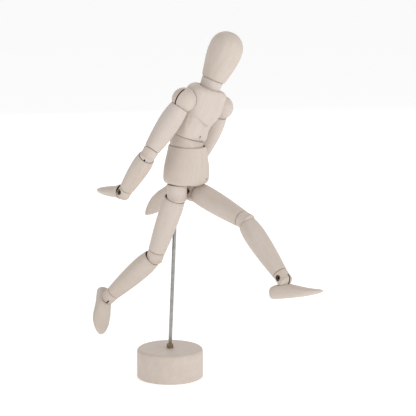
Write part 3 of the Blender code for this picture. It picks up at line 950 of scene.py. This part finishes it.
    def coil(self, radius: float, low: float, high: float, turns: float) -> Workpiece:
        """One spring along Z.

        Args:
            radius: Its outer radius.
            low: Height of its foot.
            high: Height of its top.
            turns: How many turns it has.

        Returns:
            The workpiece.
        """
        slack = 1.075  # pitch over the wire's width
        wire = (high - low) / turns / 2 / slack
        sizes = {"Radius": radius - wire, "Wire": wire, "Height": high - low - 2 * wire, "Turns": turns}
        return self._grow(self._coils, STEEL, sizes, [Vector((0, 0, low + wire))], [Vector((0, 0, 1))])


GROWN = GrownParts()


# --------------------------------------------------------------------------- joint parts


@dataclass(frozen=True)
class Drum:
    """A round joint block: its radius, its flat top and its rim, measured from the pivot."""

    radius: float
    top: float
    rim: float
    closed: float
    opened: float

    @property
    def dome(self) -> float:
        """Radius of its round underside."""
        return math.hypot(self.radius, self.rim - GAP)

    def block(self, name: str, side: int) -> Workpiece:
        """The wooden block, slotted and bored.

        Args:
            name: The mesh's name.
            side: Which end of the rivet shows, along X.

        Returns:
            The workpiece.
        """
        edge = 0.45
        start = math.degrees(math.atan2(self.radius, -(self.rim - GAP)))
        shoulder, lift = self.radius * 0.84, self.top + GAP * 0.9
        seam = Run([(0.0, lift), (shoulder, lift), (shoulder, self.top)], True)
        outline = arc(edge, 0, 90, 4, (self.radius - edge, self.top - edge))
        outline += [(self.radius, self.top * t) for t in (0.4, 0.0)]
        outline += arc(self.dome, start, 180, 18)
        block = Workpiece.turned(name, [seam, Run(outline)], 72)
        return block.cut(saw_cut(self.dome, self.closed, self.opened), rivet_bore(self.radius, side))

    def fit(self, prefix: str, side: int) -> None:
        """Makes the block and its rivet and puts them in.

        Args:
            prefix: The start of the names of its nodes and hinges.
            side: Which end of the rivet shows, along X.
        """
        seat = JOINTS.seat(f"{prefix}_bend", f"{prefix}_bend", f"{prefix}_turn")
        # painted shade at the seams above and below the drum, partly standing for edge wear
        rims = [near_height(self.top, 0.5), near_height(-self.rim + 0.2, 0.5)]
        self.block(f"{prefix}_drum", side).install(f"{prefix}_drum", seat, WOOD, rims=rims)
        pin_together(prefix, seat, self.radius, Vector((side, 0, 0)), self.radius * 1.5)


def pin_together(prefix: str, seat: Seat, radius: float, aim: Vector, length: float) -> None:
    """Puts in a joint's rivet and finishes its link.

    Args:
        prefix: The start of their names.
        seat: The joint's frame.
        radius: Radius of the block that the rivet goes through.
        aim: Which way the rivet's head faces.
        length: The rivet's length.
    """
    rivet = GROWN.rivet(rivet_reach(radius) - 0.2, aim, length)
    rivet.install(f"{prefix}_rivet", seat, BRONZE)
    dress_node(f"{prefix}_link", LINK_STEEL)


def rivet_reach(radius: float) -> float:
    """How far out a rivet's head fits in a round block of a radius."""
    return math.sqrt(radius**2 - HEAD**2)


def ball_tool(radius: float, at: Sequence[float] = (0.0, 0.0, 0.0)) -> Workpiece:
    """A round cutting tool about a centre."""
    tool = Workpiece.turned("ball", [Run(arc(radius, 0, 180, 40), True)], 80)
    return tool.placed(Matrix.Translation(Vector(at)))


def drill(radius: float, depth: float, at: Sequence[float] = (0.0, 0.0, 0.0), tip: float = 0.0,
          turn: float = 0.0) -> Workpiece:
    """A straight drill that goes down from just above a point.

    Args:
        radius: Its radius.
        depth: How deep it goes.
        at: Where it goes in.
        tip: How far it is tipped about X, in degrees.
        turn: How far it is then turned about Z.

    Returns:
        The cutting tool.
    """
    profile = [(0.0, 4.0), (radius, 4.0), (radius, -depth), (0.0, -depth)]
    tool = Workpiece.turned("drill", [Run(profile, True)], 32)
    aim = Matrix.Rotation(math.radians(turn), 4, "Z") @ Matrix.Rotation(math.radians(tip), 4, "X")
    return tool.placed(Matrix.Translation(Vector(at)) @ aim)


def saw_cut(dome: float, closed: float, opened: float) -> Workpiece:
    """The slot that a link swings in.

    Args:
        dome: Radius of the block's round underside.
        closed: How far the link swings towards +Y, in degrees.
        opened: How far it swings towards -Y.

    Returns:
        The cutting tool.
    """
    hub, reach, spare = 2.8, dome + 3.0, 3.0
    near, far = math.radians(closed + spare), math.radians(-opened - spare)
    steps = 8
    outline = arc(hub, math.degrees(-far) - 90, math.degrees(-near) + 90, steps)
    for i in range(steps + 1):
        angle = near + (far - near) * i / steps
        edge = hub * (1 - 2 * i / steps)
        along = reach if i in (0, steps) else reach * 1.25
        outline.append((edge * math.cos(angle) + along * math.sin(angle),
                        edge * math.sin(angle) - along * math.cos(angle)))
    return Workpiece.plate("saw", outline, SAW)


def rivet_bore(radius: float, side: int) -> Workpiece:
    """The rivet's bore with the wider seat of its head.

    Args:
        radius: The drum's radius.
        side: Which way the head faces, along X.

    Returns:
        The cutting tool.
    """
    seat, start, end = rivet_reach(radius) - 0.75, radius + 4, -radius * 0.62
    wide, narrow = HEAD + 0.1, 1.5
    profile = [(0.0, start), (wide, start), (wide, seat), (narrow, seat), (narrow, end), (0.0, end)]
    tool = Workpiece.turned("bore", [Run(profile, True)], 40)
    return tool.placed(Matrix.Rotation(math.radians(90 * side), 4, "Y"))


@dataclass(frozen=True)
class Limb:
    """A turned limb hung from a joint: lengths from pivot to pivot, and its radii."""

    length: float
    rim_radius: float
    swell_radius: float
    swell_at: float
    end_radius: float

    def radius(self, share: float) -> float:
        """Its radius at a share of the way down.

        Args:
            share: 0 at the rim, 1 at the flat end.

        Returns:
            The radius.
        """
        if share < self.swell_at:
            bulge = math.sin(math.pi / 2 * share / self.swell_at)
            return self.rim_radius + (self.swell_radius - self.rim_radius) * bulge
        bulge = math.cos(math.pi / 2 * (share - self.swell_at) / (1 - self.swell_at))
        return self.end_radius + (self.swell_radius - self.end_radius) * bulge

    def fit(self, node: str, seat: Seat, dome: float, rim: float, next_top: float) -> None:
        """Turns the limb and puts it in.

        Args:
            node: The limb's node.
            seat: The limb's frame, at its pivot.
            dome: Radius of the round underside it is hung from.
            rim: How far its rim is below the pivot.
            next_top: Height of the next drum's flat top above its own pivot.
        """
        end = self.length - next_top - GAP
        cup, bore, top = dome + GAP, 2.0, self.rim_radius
        bore_angle = 180 - math.degrees(math.asin(bore / cup))
        edge_angle = 180 - math.degrees(math.acos(rim / cup))
        hollow = [(0.0, -dome - 9), (bore, -dome - 9)] + arc(cup, bore_angle, edge_angle, 14)
        skin = [(top - 0.32, -rim), (top - 0.1, -rim - 0.08), (top, -rim - 0.32)]
        shares = [0.012 + (1 - 0.024) * i / 40 for i in range(1, 40)]
        skin += [(self.radius(share), -rim - (end - rim) * share) for share in shares]
        skin += arc(0.45, 90, 180, 4, (self.end_radius - 0.45, -end + 0.45))
        skin.append((0.0, -end))
        limb = Workpiece.turned(node, [Run(hollow, True), Run(skin)], 72)
        limb.install(node, seat, WOOD, rims=[near_height(-rim, 0.5), near_height(-end, 0.6)])


ELBOW = Drum(5.9, 3.9, 3.9, 62, 15)
WRIST = Drum(5.2, 3.7, 3.7, 62, 20)
HIP = Drum(7.6, 6.3, 5.4, 76, 15)
KNEE = Drum(6.5, 3.9, 3.9, 58, 15)
ANKLE = Drum(5.6, 4.2, 4.2, 45, 45)


# --------------------------------------------------------------------------- stand and trunk


@dataclass(frozen=True)
class Stand:
    """Turned base, brass socket and leaning rod."""

    radius: float = 26.0
    height: float = 23.0
    edge: float = 2.6
    socket_radius: float = 2.6
    socket_rise: float = 3.6
    rod_radius: float = 1.42
    rod_length: float = 153.8

    def fit(self) -> None:
        """Makes the stand's three pieces and puts them in."""
        hole, deep, r, h = self.socket_radius + 0.1, 8.3, self.radius, self.height
        hollow = [(0.0, h - deep), (hole, h - deep), (hole, h - 0.25)]
        skin = [(hole + 0.25, h), (r * 0.5, h), (r - self.edge, h)]
        skin += arc(self.edge, 8, 90, 10, (r - self.edge, h - self.edge))
        skin += [(r, h * t) for t in (0.7, 0.4, 0.1)] + arc(0.9, 90, 180, 5, (r - 0.9, 0.9)) + [(0.0, 0.0)]
        base = Workpiece.turned("stand_base", [Run(hollow, True), Run(skin)], 128)
        base.install("stand_base", Seat(Matrix.Identity(4)), WOOD, Grain.CROSSWISE, [near_height(0.0, 0.8)])
        middle, across = Vector((0, 0, h * MM)), Vector((1, 0, 0))
        s, rise = self.socket_radius, self.socket_rise
        bore = self.rod_radius + 0.12
        tube = [(bore, -6.5), (bore, rise - 0.2), (bore + 0.2, rise), (s - 0.25, rise), (s, rise - 0.25)]
        tube += [(s, 0.5), (s + 0.35, 0.32), (s + 0.35, 0.05), (s, 0.0), (s, -6.5), (bore, -6.5)]
        upright = Seat.facing(middle, across, Vector((0, 0, 1)))
        Workpiece.turned("rod_socket", [Run(tube)], 48).install("rod_socket", upright, BRASS)
        sunk, thick = 5.8, self.rod_radius
        top = self.rod_length - sunk
        rod = [(0.0, top), (thick - 0.35, top), (thick, top - 0.4), (thick, 0.4 - sunk), (thick - 0.3, -sunk),
               (0.0, -sunk)]
        leaning = Seat.facing(middle, across, JOINTS.axis("stand_turn"))
        Workpiece.turned("support_rod", [Run(rod)], 40).install("support_rod", leaning, STEEL)


@dataclass(frozen=True)
class Trunk:
    """Pelvis, waist, chest, neck and head."""

    pelvis_height: float = 29.0
    pelvis_top: float = 14.5
    rod_behind: float = 10.0
    hip_drop: float = 6.6
    waist_pivot: float = 2.5
    waist_rim: float = 13.2
    waist_visible: float = 6.5
    waist_bore: float = 6.6
    chest_height: float = 39.2
    chest_crest: float = 1.2
    shoulder_out: float = 24.0
    shoulder_up: float = 27.5
    ball_radius: float = 9.2
    neck_low: float = 7.3
    neck_high: float = 8.3
    neck_height: float = 7.5
    neck_pivot: float = 3.0
    neck_bore: float = 4.9
    head_dome: float = 9.6
    head_height: float = 37.5

    @property
    def waist_dome(self) -> float:
        """Radius of the waist's round underside."""
        return math.hypot(self.waist_rim, self.waist_pivot)

    @property
    def neck_dome(self) -> float:
        """Radius of the neck's round foot."""
        return math.hypot(self.neck_low, self.neck_pivot)

    @property
    def head_pivot(self) -> float:
        """Height of the head's pivot above the neck's."""
        return self.neck_height - self.head_rise - self.neck_pivot

    @property
    def head_rise(self) -> float:
        """Height of the neck's shoulder above the head's pivot."""
        return math.sqrt(self.head_dome**2 - self.neck_high**2)

    @property
    def head_seat(self) -> Seat:
        """The head's frame, at its pivot."""
        up = JOINTS.axis("head_turn")
        return Seat.facing(JOINTS.place("head_turn"), JOINTS.axis("head_tilt").cross(up), up)

    def fit(self) -> None:
        """Makes the trunk's pieces and puts them in."""
        self._fit_pelvis()
        self._fit_waist()
        self._fit_chest()
        self._fit_neck()
        self._fit_head()

    def _fit_pelvis(self) -> None:
        """Makes the hips block."""
        right, left = JOINTS.place("right_hip_turn"), JOINTS.place("left_hip_turn")
        seat = Seat.facing((right + left) / 2, left - right, JOINTS.axis("right_hip_turn"))
        seat = seat.moved(z=self.hip_drop)
        h, top = self.pelvis_height, self.pelvis_top
        rows = [(0.0, 14.8, 11.9, 12.0, 2.5), (0.25, 15.8, 12.8, 12.9, 2.5), (1.0, 16.8, 13.9, 13.9, 2.5),
                (2.8, 17.6, 15.1, 15.0, 2.4), (6.0, 18.1, 15.9, 15.6, 2.25), (10.5, 18.2, 16.1, 15.7, 2.15),
                (15.0, 17.6, 15.9, 15.5, 2.1), (20.0, 16.4, 15.3, 15.2, 2.05), (25.0, 15.2, 14.8, 14.8, 2.0)]
        rows += [level_ring(height, radius) for height, radius in (
            (h - 1.0, top + 0.05), (h - 0.25, top - 0.15), (h, top - 0.6))]

        def crotch(point: Vector) -> Vector:
            """Draws the underside's front edge down in the middle."""
            share = max(0.0, 1.0 - abs(point.x) / 7.5) * max(0.0, 1.0 - point.z / 3.0)
            return Vector((point.x, point.y, point.z - 0.9 * share))

        pelvis = Workpiece.lofted("pelvis", rows, 112, 5, crotch)
        pelvis.cut(ball_tool(self.waist_dome + CUP, (0, 0, h + self.waist_pivot)),
                   drill(1.9, 14.3, (0, self.rod_behind, 0), 180),
                   drill(0.85, 5.0, (7.5, -15.2, 4.4), 84, 22))
        pelvis.install("pelvis", seat, WOOD, rims=[near_height(h, 0.7), near_height(0.0, 0.9)])
        dress_node("pelvis_pin", STEEL)

    def _fit_waist(self) -> None:
        """Makes the waist block and its spring."""
        across, up, lean = (JOINTS.axis(f"torso_{way}") for way in ("side", "turn", "lean"))
        top = self.waist_visible - self.waist_pivot
        rows = [level_ring(height, radius) for radius, height in arc(self.waist_dome, 155, 107, 6)]
        rows += [level_ring(-self.waist_pivot, self.waist_rim), (top * 0.3, 13.2, 11.9, 11.9, 2.0),
                 (top - 0.5, 13.35, 9.9, 9.9, 2.1), (top, 13.1, 9.6, 9.6, 2.1),
                 (top + 0.02, 12.0, 8.4, 8.4, 2.1), (top + GAP * 0.9, 11.9, 8.3, 8.3, 2.1)]
        waist = Workpiece.lofted("waist_drum", rows, 96, 4)
        waist.cut(drill(self.waist_bore, 20, (0, 0, -2.0)))
        seat = Seat.facing(JOINTS.place("torso_turn"), across.cross(up), up)
        waist.install("waist_drum", seat, WOOD, rims=[near_height(top, 0.6)])
        core = Seat.facing(JOINTS.place("torso_lean"), lean, lean.cross(across))
        GROWN.coil(2.2, -13.1, 1.2, 15).install("torso_spring", core, STEEL)

    def _fit_chest(self) -> None:
        """Makes the ribcage block, with a raised breast plate between scooped sides."""
        top = self.chest_height + self.chest_crest
        rows = [(0.0, 14.1, 8.0, 8.2, 2.6), (0.3, 14.6, 8.6, 8.8, 2.6), (1.2, 14.9, 9.0, 9.1, 2.6),
                (6.0, 15.0, 9.9, 9.6, 2.6), (12.0, 15.3, 11.4, 10.6, 2.6), (17.0, 16.3, 12.6, 11.2, 2.6),
                (21.5, 18.4, 13.3, 11.7, 2.6), (26.0, 20.2, 13.2, 11.9, 2.5), (31.0, 20.6, 12.5, 11.8, 2.4),
                (35.0, 20.2, 11.6, 11.8, 2.3), (37.8, 18.7, 10.8, 11.5, 2.3), (39.2, 16.9, 10.2, 11.1, 2.25),
                (top - 0.3, 15.0, 9.7, 10.6, 2.15), (top, 13.4, 9.2, 10.1, 2.1)]

        def carve(point: Vector) -> Vector:
            """Scoops the front beside the breast plate and under it.

            Args:
                point: A point of the plain skin.

            Returns:
                Where it goes.
            """
            if point.y > -2.0:
                return point
            front = min(1.0, (-point.y - 2.0) / 4.0)
            crease = 13.5 + abs(point.x) * 0.34
            breast = ease(point.z, crease - 0.5, crease + 0.5) * (1 - ease(point.z, 31.0, 38.5))
            slope = min(1.5, abs(point.x) * 0.13)
            below = (1 - breast) * (1 - ease(point.z, 24.0, 30.0)) * ease(point.z, 2.0, 11.0)
            depth = front * (slope * breast + 2.1 * below)
            return Vector((point.x, point.y + depth, point.z))

        chest = Workpiece.lofted("chest", rows, 160, 8, carve)
        out, up = self.shoulder_out, self.shoulder_up
        chest.cut(*(ball_tool(self.ball_radius + CUP, (out * side.value, 0, up)) for side in Side),
                  ball_tool(self.neck_dome + CUP, (0, 0, self.chest_height + self.neck_pivot)),
                  drill(0.85, 5.0, (0.0, -10.0, 3.6), 97))
        seat = JOINTS.seat("torso_turn", "right_shoulder_swing", "torso_turn")
        seat = seat.moved(z=self.waist_visible - self.waist_pivot + GAP)
        chest.install("chest", seat, WOOD, rims=[near_height(0.0, 0.7)])
        dress_node("chest_pin", STEEL)

    def _fit_neck(self) -> None:
        """Makes the neck and its spring."""
        lean = JOINTS.axis("neck_lean")
        seat = Seat.facing(JOINTS.place("neck_lean"), lean, lean.cross(JOINTS.axis("head_tilt")))
        middle = (0.0, self.head_pivot)
        rim = math.degrees(math.atan2(self.neck_low, -self.neck_pivot))
        high = math.degrees(math.asin(self.neck_high / self.head_dome))
        bore = math.degrees(math.asin(self.neck_bore / self.head_dome))
        floor = self.head_pivot - 3.6
        hollow = [(0.0, floor), (self.neck_bore, floor)]
        skin = arc(self.head_dome, bore, high, 8, middle)
        wall = self.head_pivot + self.head_rise
        for t in (0.15, 0.35, 0.55, 0.75, 0.9):
            height = wall + (-self.neck_pivot - wall) * t
            skin.append((self.neck_high + (self.neck_low - self.neck_high) * t**1.4, height))
        skin += arc(self.neck_dome, rim, 180, 12)
        Workpiece.turned("neck", [Run(hollow, True), Run(skin)], 72).install("neck", seat, WOOD)
        GROWN.coil(1.5, -2.0, 15.0, 26).install("neck_spring", self.head_seat, STEEL)

    def _fit_head(self) -> None:
        """Makes the egg-shaped head."""
        foot = self.head_rise + 1.0
        shape = [(0.0, 8.3, 8.7, 8.7), (0.25, 8.8, 9.2, 9.1), (1.0, 9.1, 9.5, 9.3), (5.0, 9.9, 10.5, 10.3),
                 (10.0, 10.9, 11.7, 11.3), (15.5, 11.9, 12.6, 12.4), (21.0, 12.5, 13.0, 13.0),
                 (26.0, 12.4, 12.7, 12.9), (30.0, 11.4, 11.6, 12.0), (33.5, 9.2, 9.3, 9.9),
                 (36.0, 6.2, 6.2, 6.8), (37.2, 3.4, 3.3, 3.8), (37.6, 1.2, 1.2, 1.3)]
        rows = [(foot + z, x, front, back, 2.05) for z, x, front, back in shape]
        head = Workpiece.lofted("head", rows, 112, 6)
        head.cut(ball_tool(self.head_dome + CUP), drill(1.9, 19.3, (0, 0, -4.0), 180))
        head.install("head", self.head_seat, WOOD, rims=[near_height(foot, 0.6)])


# --------------------------------------------------------------------------- arms and legs


@dataclass(frozen=True)
class Arm:
    """One arm, from the shoulder ball to the hand."""

    side: Side
    ball_radius: float = 9.2
    ball_rim: float = 6.7
    upper: Limb = field(default_factory=lambda: Limb(48.0, 7.15, 8.3, 0.32, 6.1))
    fore: Limb = field(default_factory=lambda: Limb(42.0, 6.45, 7.3, 0.26, 5.4))

    def fit(self) -> None:
        """Makes the arm's pieces and puts them in."""
        name, out = self.side.label, self.side.value
        self._fit_shoulder(name, out)
        across = JOINTS.axis(f"{name}_arm_lift") * -out
        down = JOINTS.axis(f"{name}_elbow_turn")
        upper = Seat.facing(JOINTS.place(f"{name}_arm_lift"), across.cross(down), down)
        self.upper.fit(f"{name}_upper_arm", upper, self.ball_radius, self.ball_rim, ELBOW.top)
        ELBOW.fit(f"{name}_elbow", out)
        fore = JOINTS.seat(f"{name}_elbow_bend", f"{name}_elbow_bend", f"{name}_wrist_turn")
        self.fore.fit(f"{name}_forearm", fore, ELBOW.dome, ELBOW.rim, WRIST.top)
        WRIST.fit(f"{name}_wrist", out)
        self._fit_hand(name)

    def _fit_shoulder(self, name: str, out: int) -> None:
        """Makes the ball and its rivet.

        Args:
            name: The side's word.
            out: The side's sign along X.
        """
        swing, lift = JOINTS.axis(f"{name}_shoulder_swing"), JOINTS.axis(f"{name}_arm_lift") * -out
        seat = Seat.facing(JOINTS.place(f"{name}_arm_lift"), swing, swing.cross(lift))
        ball = Workpiece.turned(f"{name}_shoulder_ball", [Run(arc(self.ball_radius, 0, 180, 44))], 88)
        saw = saw_cut(self.ball_radius, 128, 12).placed(Matrix.Rotation(math.radians(-90 * out), 4, "Z"))
        bore = rivet_bore(self.ball_radius, 1).placed(Matrix.Rotation(math.radians(90), 4, "Z"))
        ball.cut(saw, bore).install(f"{name}_shoulder_ball", seat, WOOD)
        pin_together(f"{name}_shoulder", seat, self.ball_radius, Vector((0, 1, 0)), self.ball_radius * 1.35)

    def _fit_hand(self, name: str) -> None:
        """Makes the flat, pointed hand.

        Args:
            name: The side's word.
        """
        pivot = JOINTS.place(f"{name}_wrist_bend")
        seat = Seat.facing(pivot, JOINTS.axis(f"{name}_wrist_bend"), -JOINTS.reach(f"{name}_hand", pivot))
        rows = [(-37.6, 0.4, 0.3, 0.3, 2.0), (-37.2, 0.9, 0.7, 0.7, 2.0), (-35.6, 2.1, 1.4, 1.4, 2.1),
                (-32.5, 3.8, 2.3, 2.1, 2.15), (-27.5, 5.7, 3.2, 2.9, 2.2), (-22.0, 6.8, 3.9, 3.5, 2.25),
                (-16.5, 6.85, 4.4, 4.0, 2.2), (-11.5, 6.1, 4.6, 4.4, 2.1), (-7.5, 5.6, 5.1, 5.0, 2.0),
                (-5.0, 5.75, 5.7, 5.7, 2.0), level_ring(-WRIST.rim - 0.25, 5.75), level_ring(-WRIST.rim, 5.5)]
        hand = Workpiece.lofted(f"{name}_hand", rows, 72, 6)
        hand.cut(ball_tool(WRIST.dome + CUP), drill(2.0, WRIST.dome + 8))
        hand.install(f"{name}_hand", seat, WOOD, rims=[near_height(-WRIST.rim, 0.5)])


@dataclass(frozen=True)
class Leg:
    """One leg, from the hip drum to the foot."""

    side: Side
    thigh: Limb = field(default_factory=lambda: Limb(56.0, 8.1, 8.6, 0.2, 6.7))
    shin: Limb = field(default_factory=lambda: Limb(56.0, 7.05, 8.2, 0.24, 5.8))

    def fit(self) -> None:
        """Makes the leg's pieces and puts them in."""
        name, out = self.side.label, self.side.value
        HIP.fit(f"{name}_hip", 1)
        thigh = JOINTS.seat(f"{name}_hip_bend", f"{name}_hip_bend", f"{name}_knee_turn")
        self.thigh.fit(f"{name}_thigh", thigh, HIP.dome, HIP.rim, KNEE.top)
        KNEE.fit(f"{name}_knee", 1)
        shin = JOINTS.seat(f"{name}_knee_bend", f"{name}_knee_bend", f"{name}_ankle_turn")
        self.shin.fit(f"{name}_shin", shin, KNEE.dome, KNEE.rim, ANKLE.top)
        ANKLE.fit(f"{name}_ankle", -out)
        self._fit_foot(name)

    def _fit_foot(self, name: str) -> None:
        """Makes the long, pointed foot.

        Args:
            name: The side's word.
        """
        pivot, up = JOINTS.place(f"{name}_foot_turn"), JOINTS.axis(f"{name}_foot_turn")
        toe = JOINTS.reach(f"{name}_foot", pivot)
        toe = (toe - up * toe.dot(up)).normalized()
        seat = Seat.facing(pivot, toe.cross(up) * -1, up)
        rings = [(-10.5, 3.6, -13.4, -7.6), (-10.2, 4.3, -14.2, -6.8), (-9.2, 4.9, -14.8, -5.8),
                 (-5.5, 5.4, -15.1, -4.6), (0.0, 5.8, -15.2, -4.2), (3.5, 6.2, -15.2, -4.5),
                 (7.5, 6.8, -15.2, -5.7), (13.0, 7.5, -15.1, -7.4), (18.0, 7.4, -14.8, -8.9),
                 (23.0, 6.2, -14.2, -10.0), (26.8, 4.3, -13.6, -10.7), (28.9, 2.4, -13.1, -11.3),
                 (29.7, 0.9, -12.7, -11.9)]
        rows = [(forward, half, *[(high - low) / 2] * 2, 2.5) for forward, half, low, high in rings]
        heights = [(forward, (high + low) / 2) for forward, _, low, high in rings]

        def lift(point: Vector) -> Vector:
            """Raises a ring to its own height.

            Args:
                point: A point of the plain skin.

            Returns:
                Where it goes.
            """
            middle = next((a[1] + (b[1] - a[1]) * (point.z - a[0]) / (b[0] - a[0])
                           for a, b in zip(heights, heights[1:]) if point.z <= b[0] + 1e-6), heights[-1][1])
            return Vector((point.x, point.y + middle, point.z))

        foot = Workpiece.lofted(f"{name}_foot", rows, 72, 6, lift)
        foot.placed(Matrix.Rotation(math.radians(90), 4, "X"))
        foot.cut(ball_tool(ANKLE.dome + CUP), drill(2.0, ANKLE.dome + 7.4))
        foot.install(f"{name}_foot", seat, WOOD, Grain.FORWARD, [near_height(-ANKLE.rim, 0.5)])


# --------------------------------------------------------------------------- studio


@dataclass(frozen=True)
class Studio:
    """Floor, soft lights and camera."""

    camera_from: tuple = (-0.813, -0.813, 0.330)
    fill_share: float = 0.85
    sensor: float = 36.0
    floor_size: float = 60.0

    def set_up(self) -> None:
        """Makes the floor, the lights and the camera."""
        self._floor()
        self._world()
        self._lamp("key", (0.2, -1.6, 0.75), 1.0, 9.0)
        self._lamp("fill", (-1.7, -0.3, 0.8), 1.3, 3.0)
        self._lamp("back", (0.9, 1.3, 0.9), 1.0, 5.0)
        self._camera()

    def _floor(self) -> None:
        """Lays a wide pale floor."""
        mesh = bpy.data.meshes.new("studio_floor")
        half = self.floor_size / 2
        corners = [(-half, -half, 0), (half, -half, 0), (half, half, 0), (-half, half, 0)]
        mesh.from_pydata(corners, [], [(0, 1, 2, 3)])
        floor = bpy.data.objects.new("studio_floor", mesh)
        bpy.context.scene.collection.objects.link(floor)
        paper = bpy.data.materials.new("white_paper")
        paper.use_nodes = True
        bench, shader = NodeBench(paper.node_tree), paper.node_tree.nodes["Principled BSDF"]
        tooth = bench.noise(bench.add("ShaderNodeTexCoord").outputs["Object"], 900.0, 3.0)
        colour = bench.blend(tooth, (0.93, 0.93, 0.925, 1), (0.95, 0.95, 0.95, 1))
        bench.fill(shader, {"Base Color": colour, "Roughness": 0.9, "Emission Color": (1.0, 1.0, 1.0, 1.0),
                            "Emission Strength": 0.37, "Specular IOR Level": 0.1})
        mesh.materials.append(paper)
        floor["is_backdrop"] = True

    def _world(self) -> None:
        """Fills the room with even white light."""
        world = bpy.data.worlds.new("studio_air")
        world.use_nodes = True
        bench = NodeBench(world.node_tree)
        seen = bench.add("ShaderNodeLightPath").outputs["Is Camera Ray"]
        bench.fill(world.node_tree.nodes["Background"], {
            "Color": (1.0, 1.0, 1.0, 1.0), "Strength": bench.math("MULTIPLY_ADD", seen, 0.4, 0.62)})
        bpy.context.scene.world = world
        bpy.context.scene.view_settings.view_transform = "Standard"

    def _lamp(self, name: str, at: Sequence[float], size: float, power: float) -> None:
        """Hangs a soft square lamp that faces the figure.

        Args:
            name: The lamp's name.
            at: Its place, in metres.
            size: Its side.
            power: Its power, in watts.
        """
        light = bpy.data.lights.new(name, "AREA")
        light.shape = "SQUARE"
        light.size = size
        light.energy = power
        lamp = bpy.data.objects.new(name, light)
        lamp.location = at
        lamp.rotation_euler = (Vector((0, 0, 0.14)) - Vector(at)).to_track_quat("-Z", "Y").to_euler()
        bpy.context.scene.collection.objects.link(lamp)

    def _camera(self) -> None:
        """Sets the camera and frames the figure."""
        corners = [vertex.co for node in frame["nodes"].values() for vertex in node.data.vertices]
        eye = Vector(self.camera_from)
        aim = sum((Vector(corner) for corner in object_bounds()), Vector()) / 2
        half = 0.0
        for _ in range(6):
            turn = (aim - eye).to_track_quat("-Z", "Y").to_matrix()
            seen = [turn.transposed() @ (corner - eye) for corner in corners]
            xs, ys = [-s.x / s.z for s in seen], [-s.y / s.z for s in seen]
            middle = Vector(((max(xs) + min(xs)) / 2, (max(ys) + min(ys)) / 2, -1.0))
            half = max(max(xs) - min(xs), max(ys) - min(ys)) / 2
            aim = eye + (turn @ middle) * (aim - eye).length
        data = bpy.data.cameras.new("camera")
        data.sensor_width = self.sensor
        data.lens = self.sensor / 2 / (half / self.fill_share)
        data.clip_end = 200.0
        camera = bpy.data.objects.new("camera", data)
        camera.location = eye
        camera.rotation_euler = (aim - eye).to_track_quat("-Z", "Y").to_euler()
        bpy.context.scene.collection.objects.link(camera)
        bpy.context.scene.camera = camera
        log.info("camera lens %.1f mm", data.lens)


def main() -> None:
    """Makes the stand, the figure and the studio."""
    logging.basicConfig(level=logging.INFO, format="%(name)s %(message)s")
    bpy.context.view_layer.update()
    Studio().set_up()
    Stand().fit()
    Trunk().fit()
    for side in Side:
        Arm(side).fit()
        Leg(side).fit()


if __name__ == "__main__":
    main()
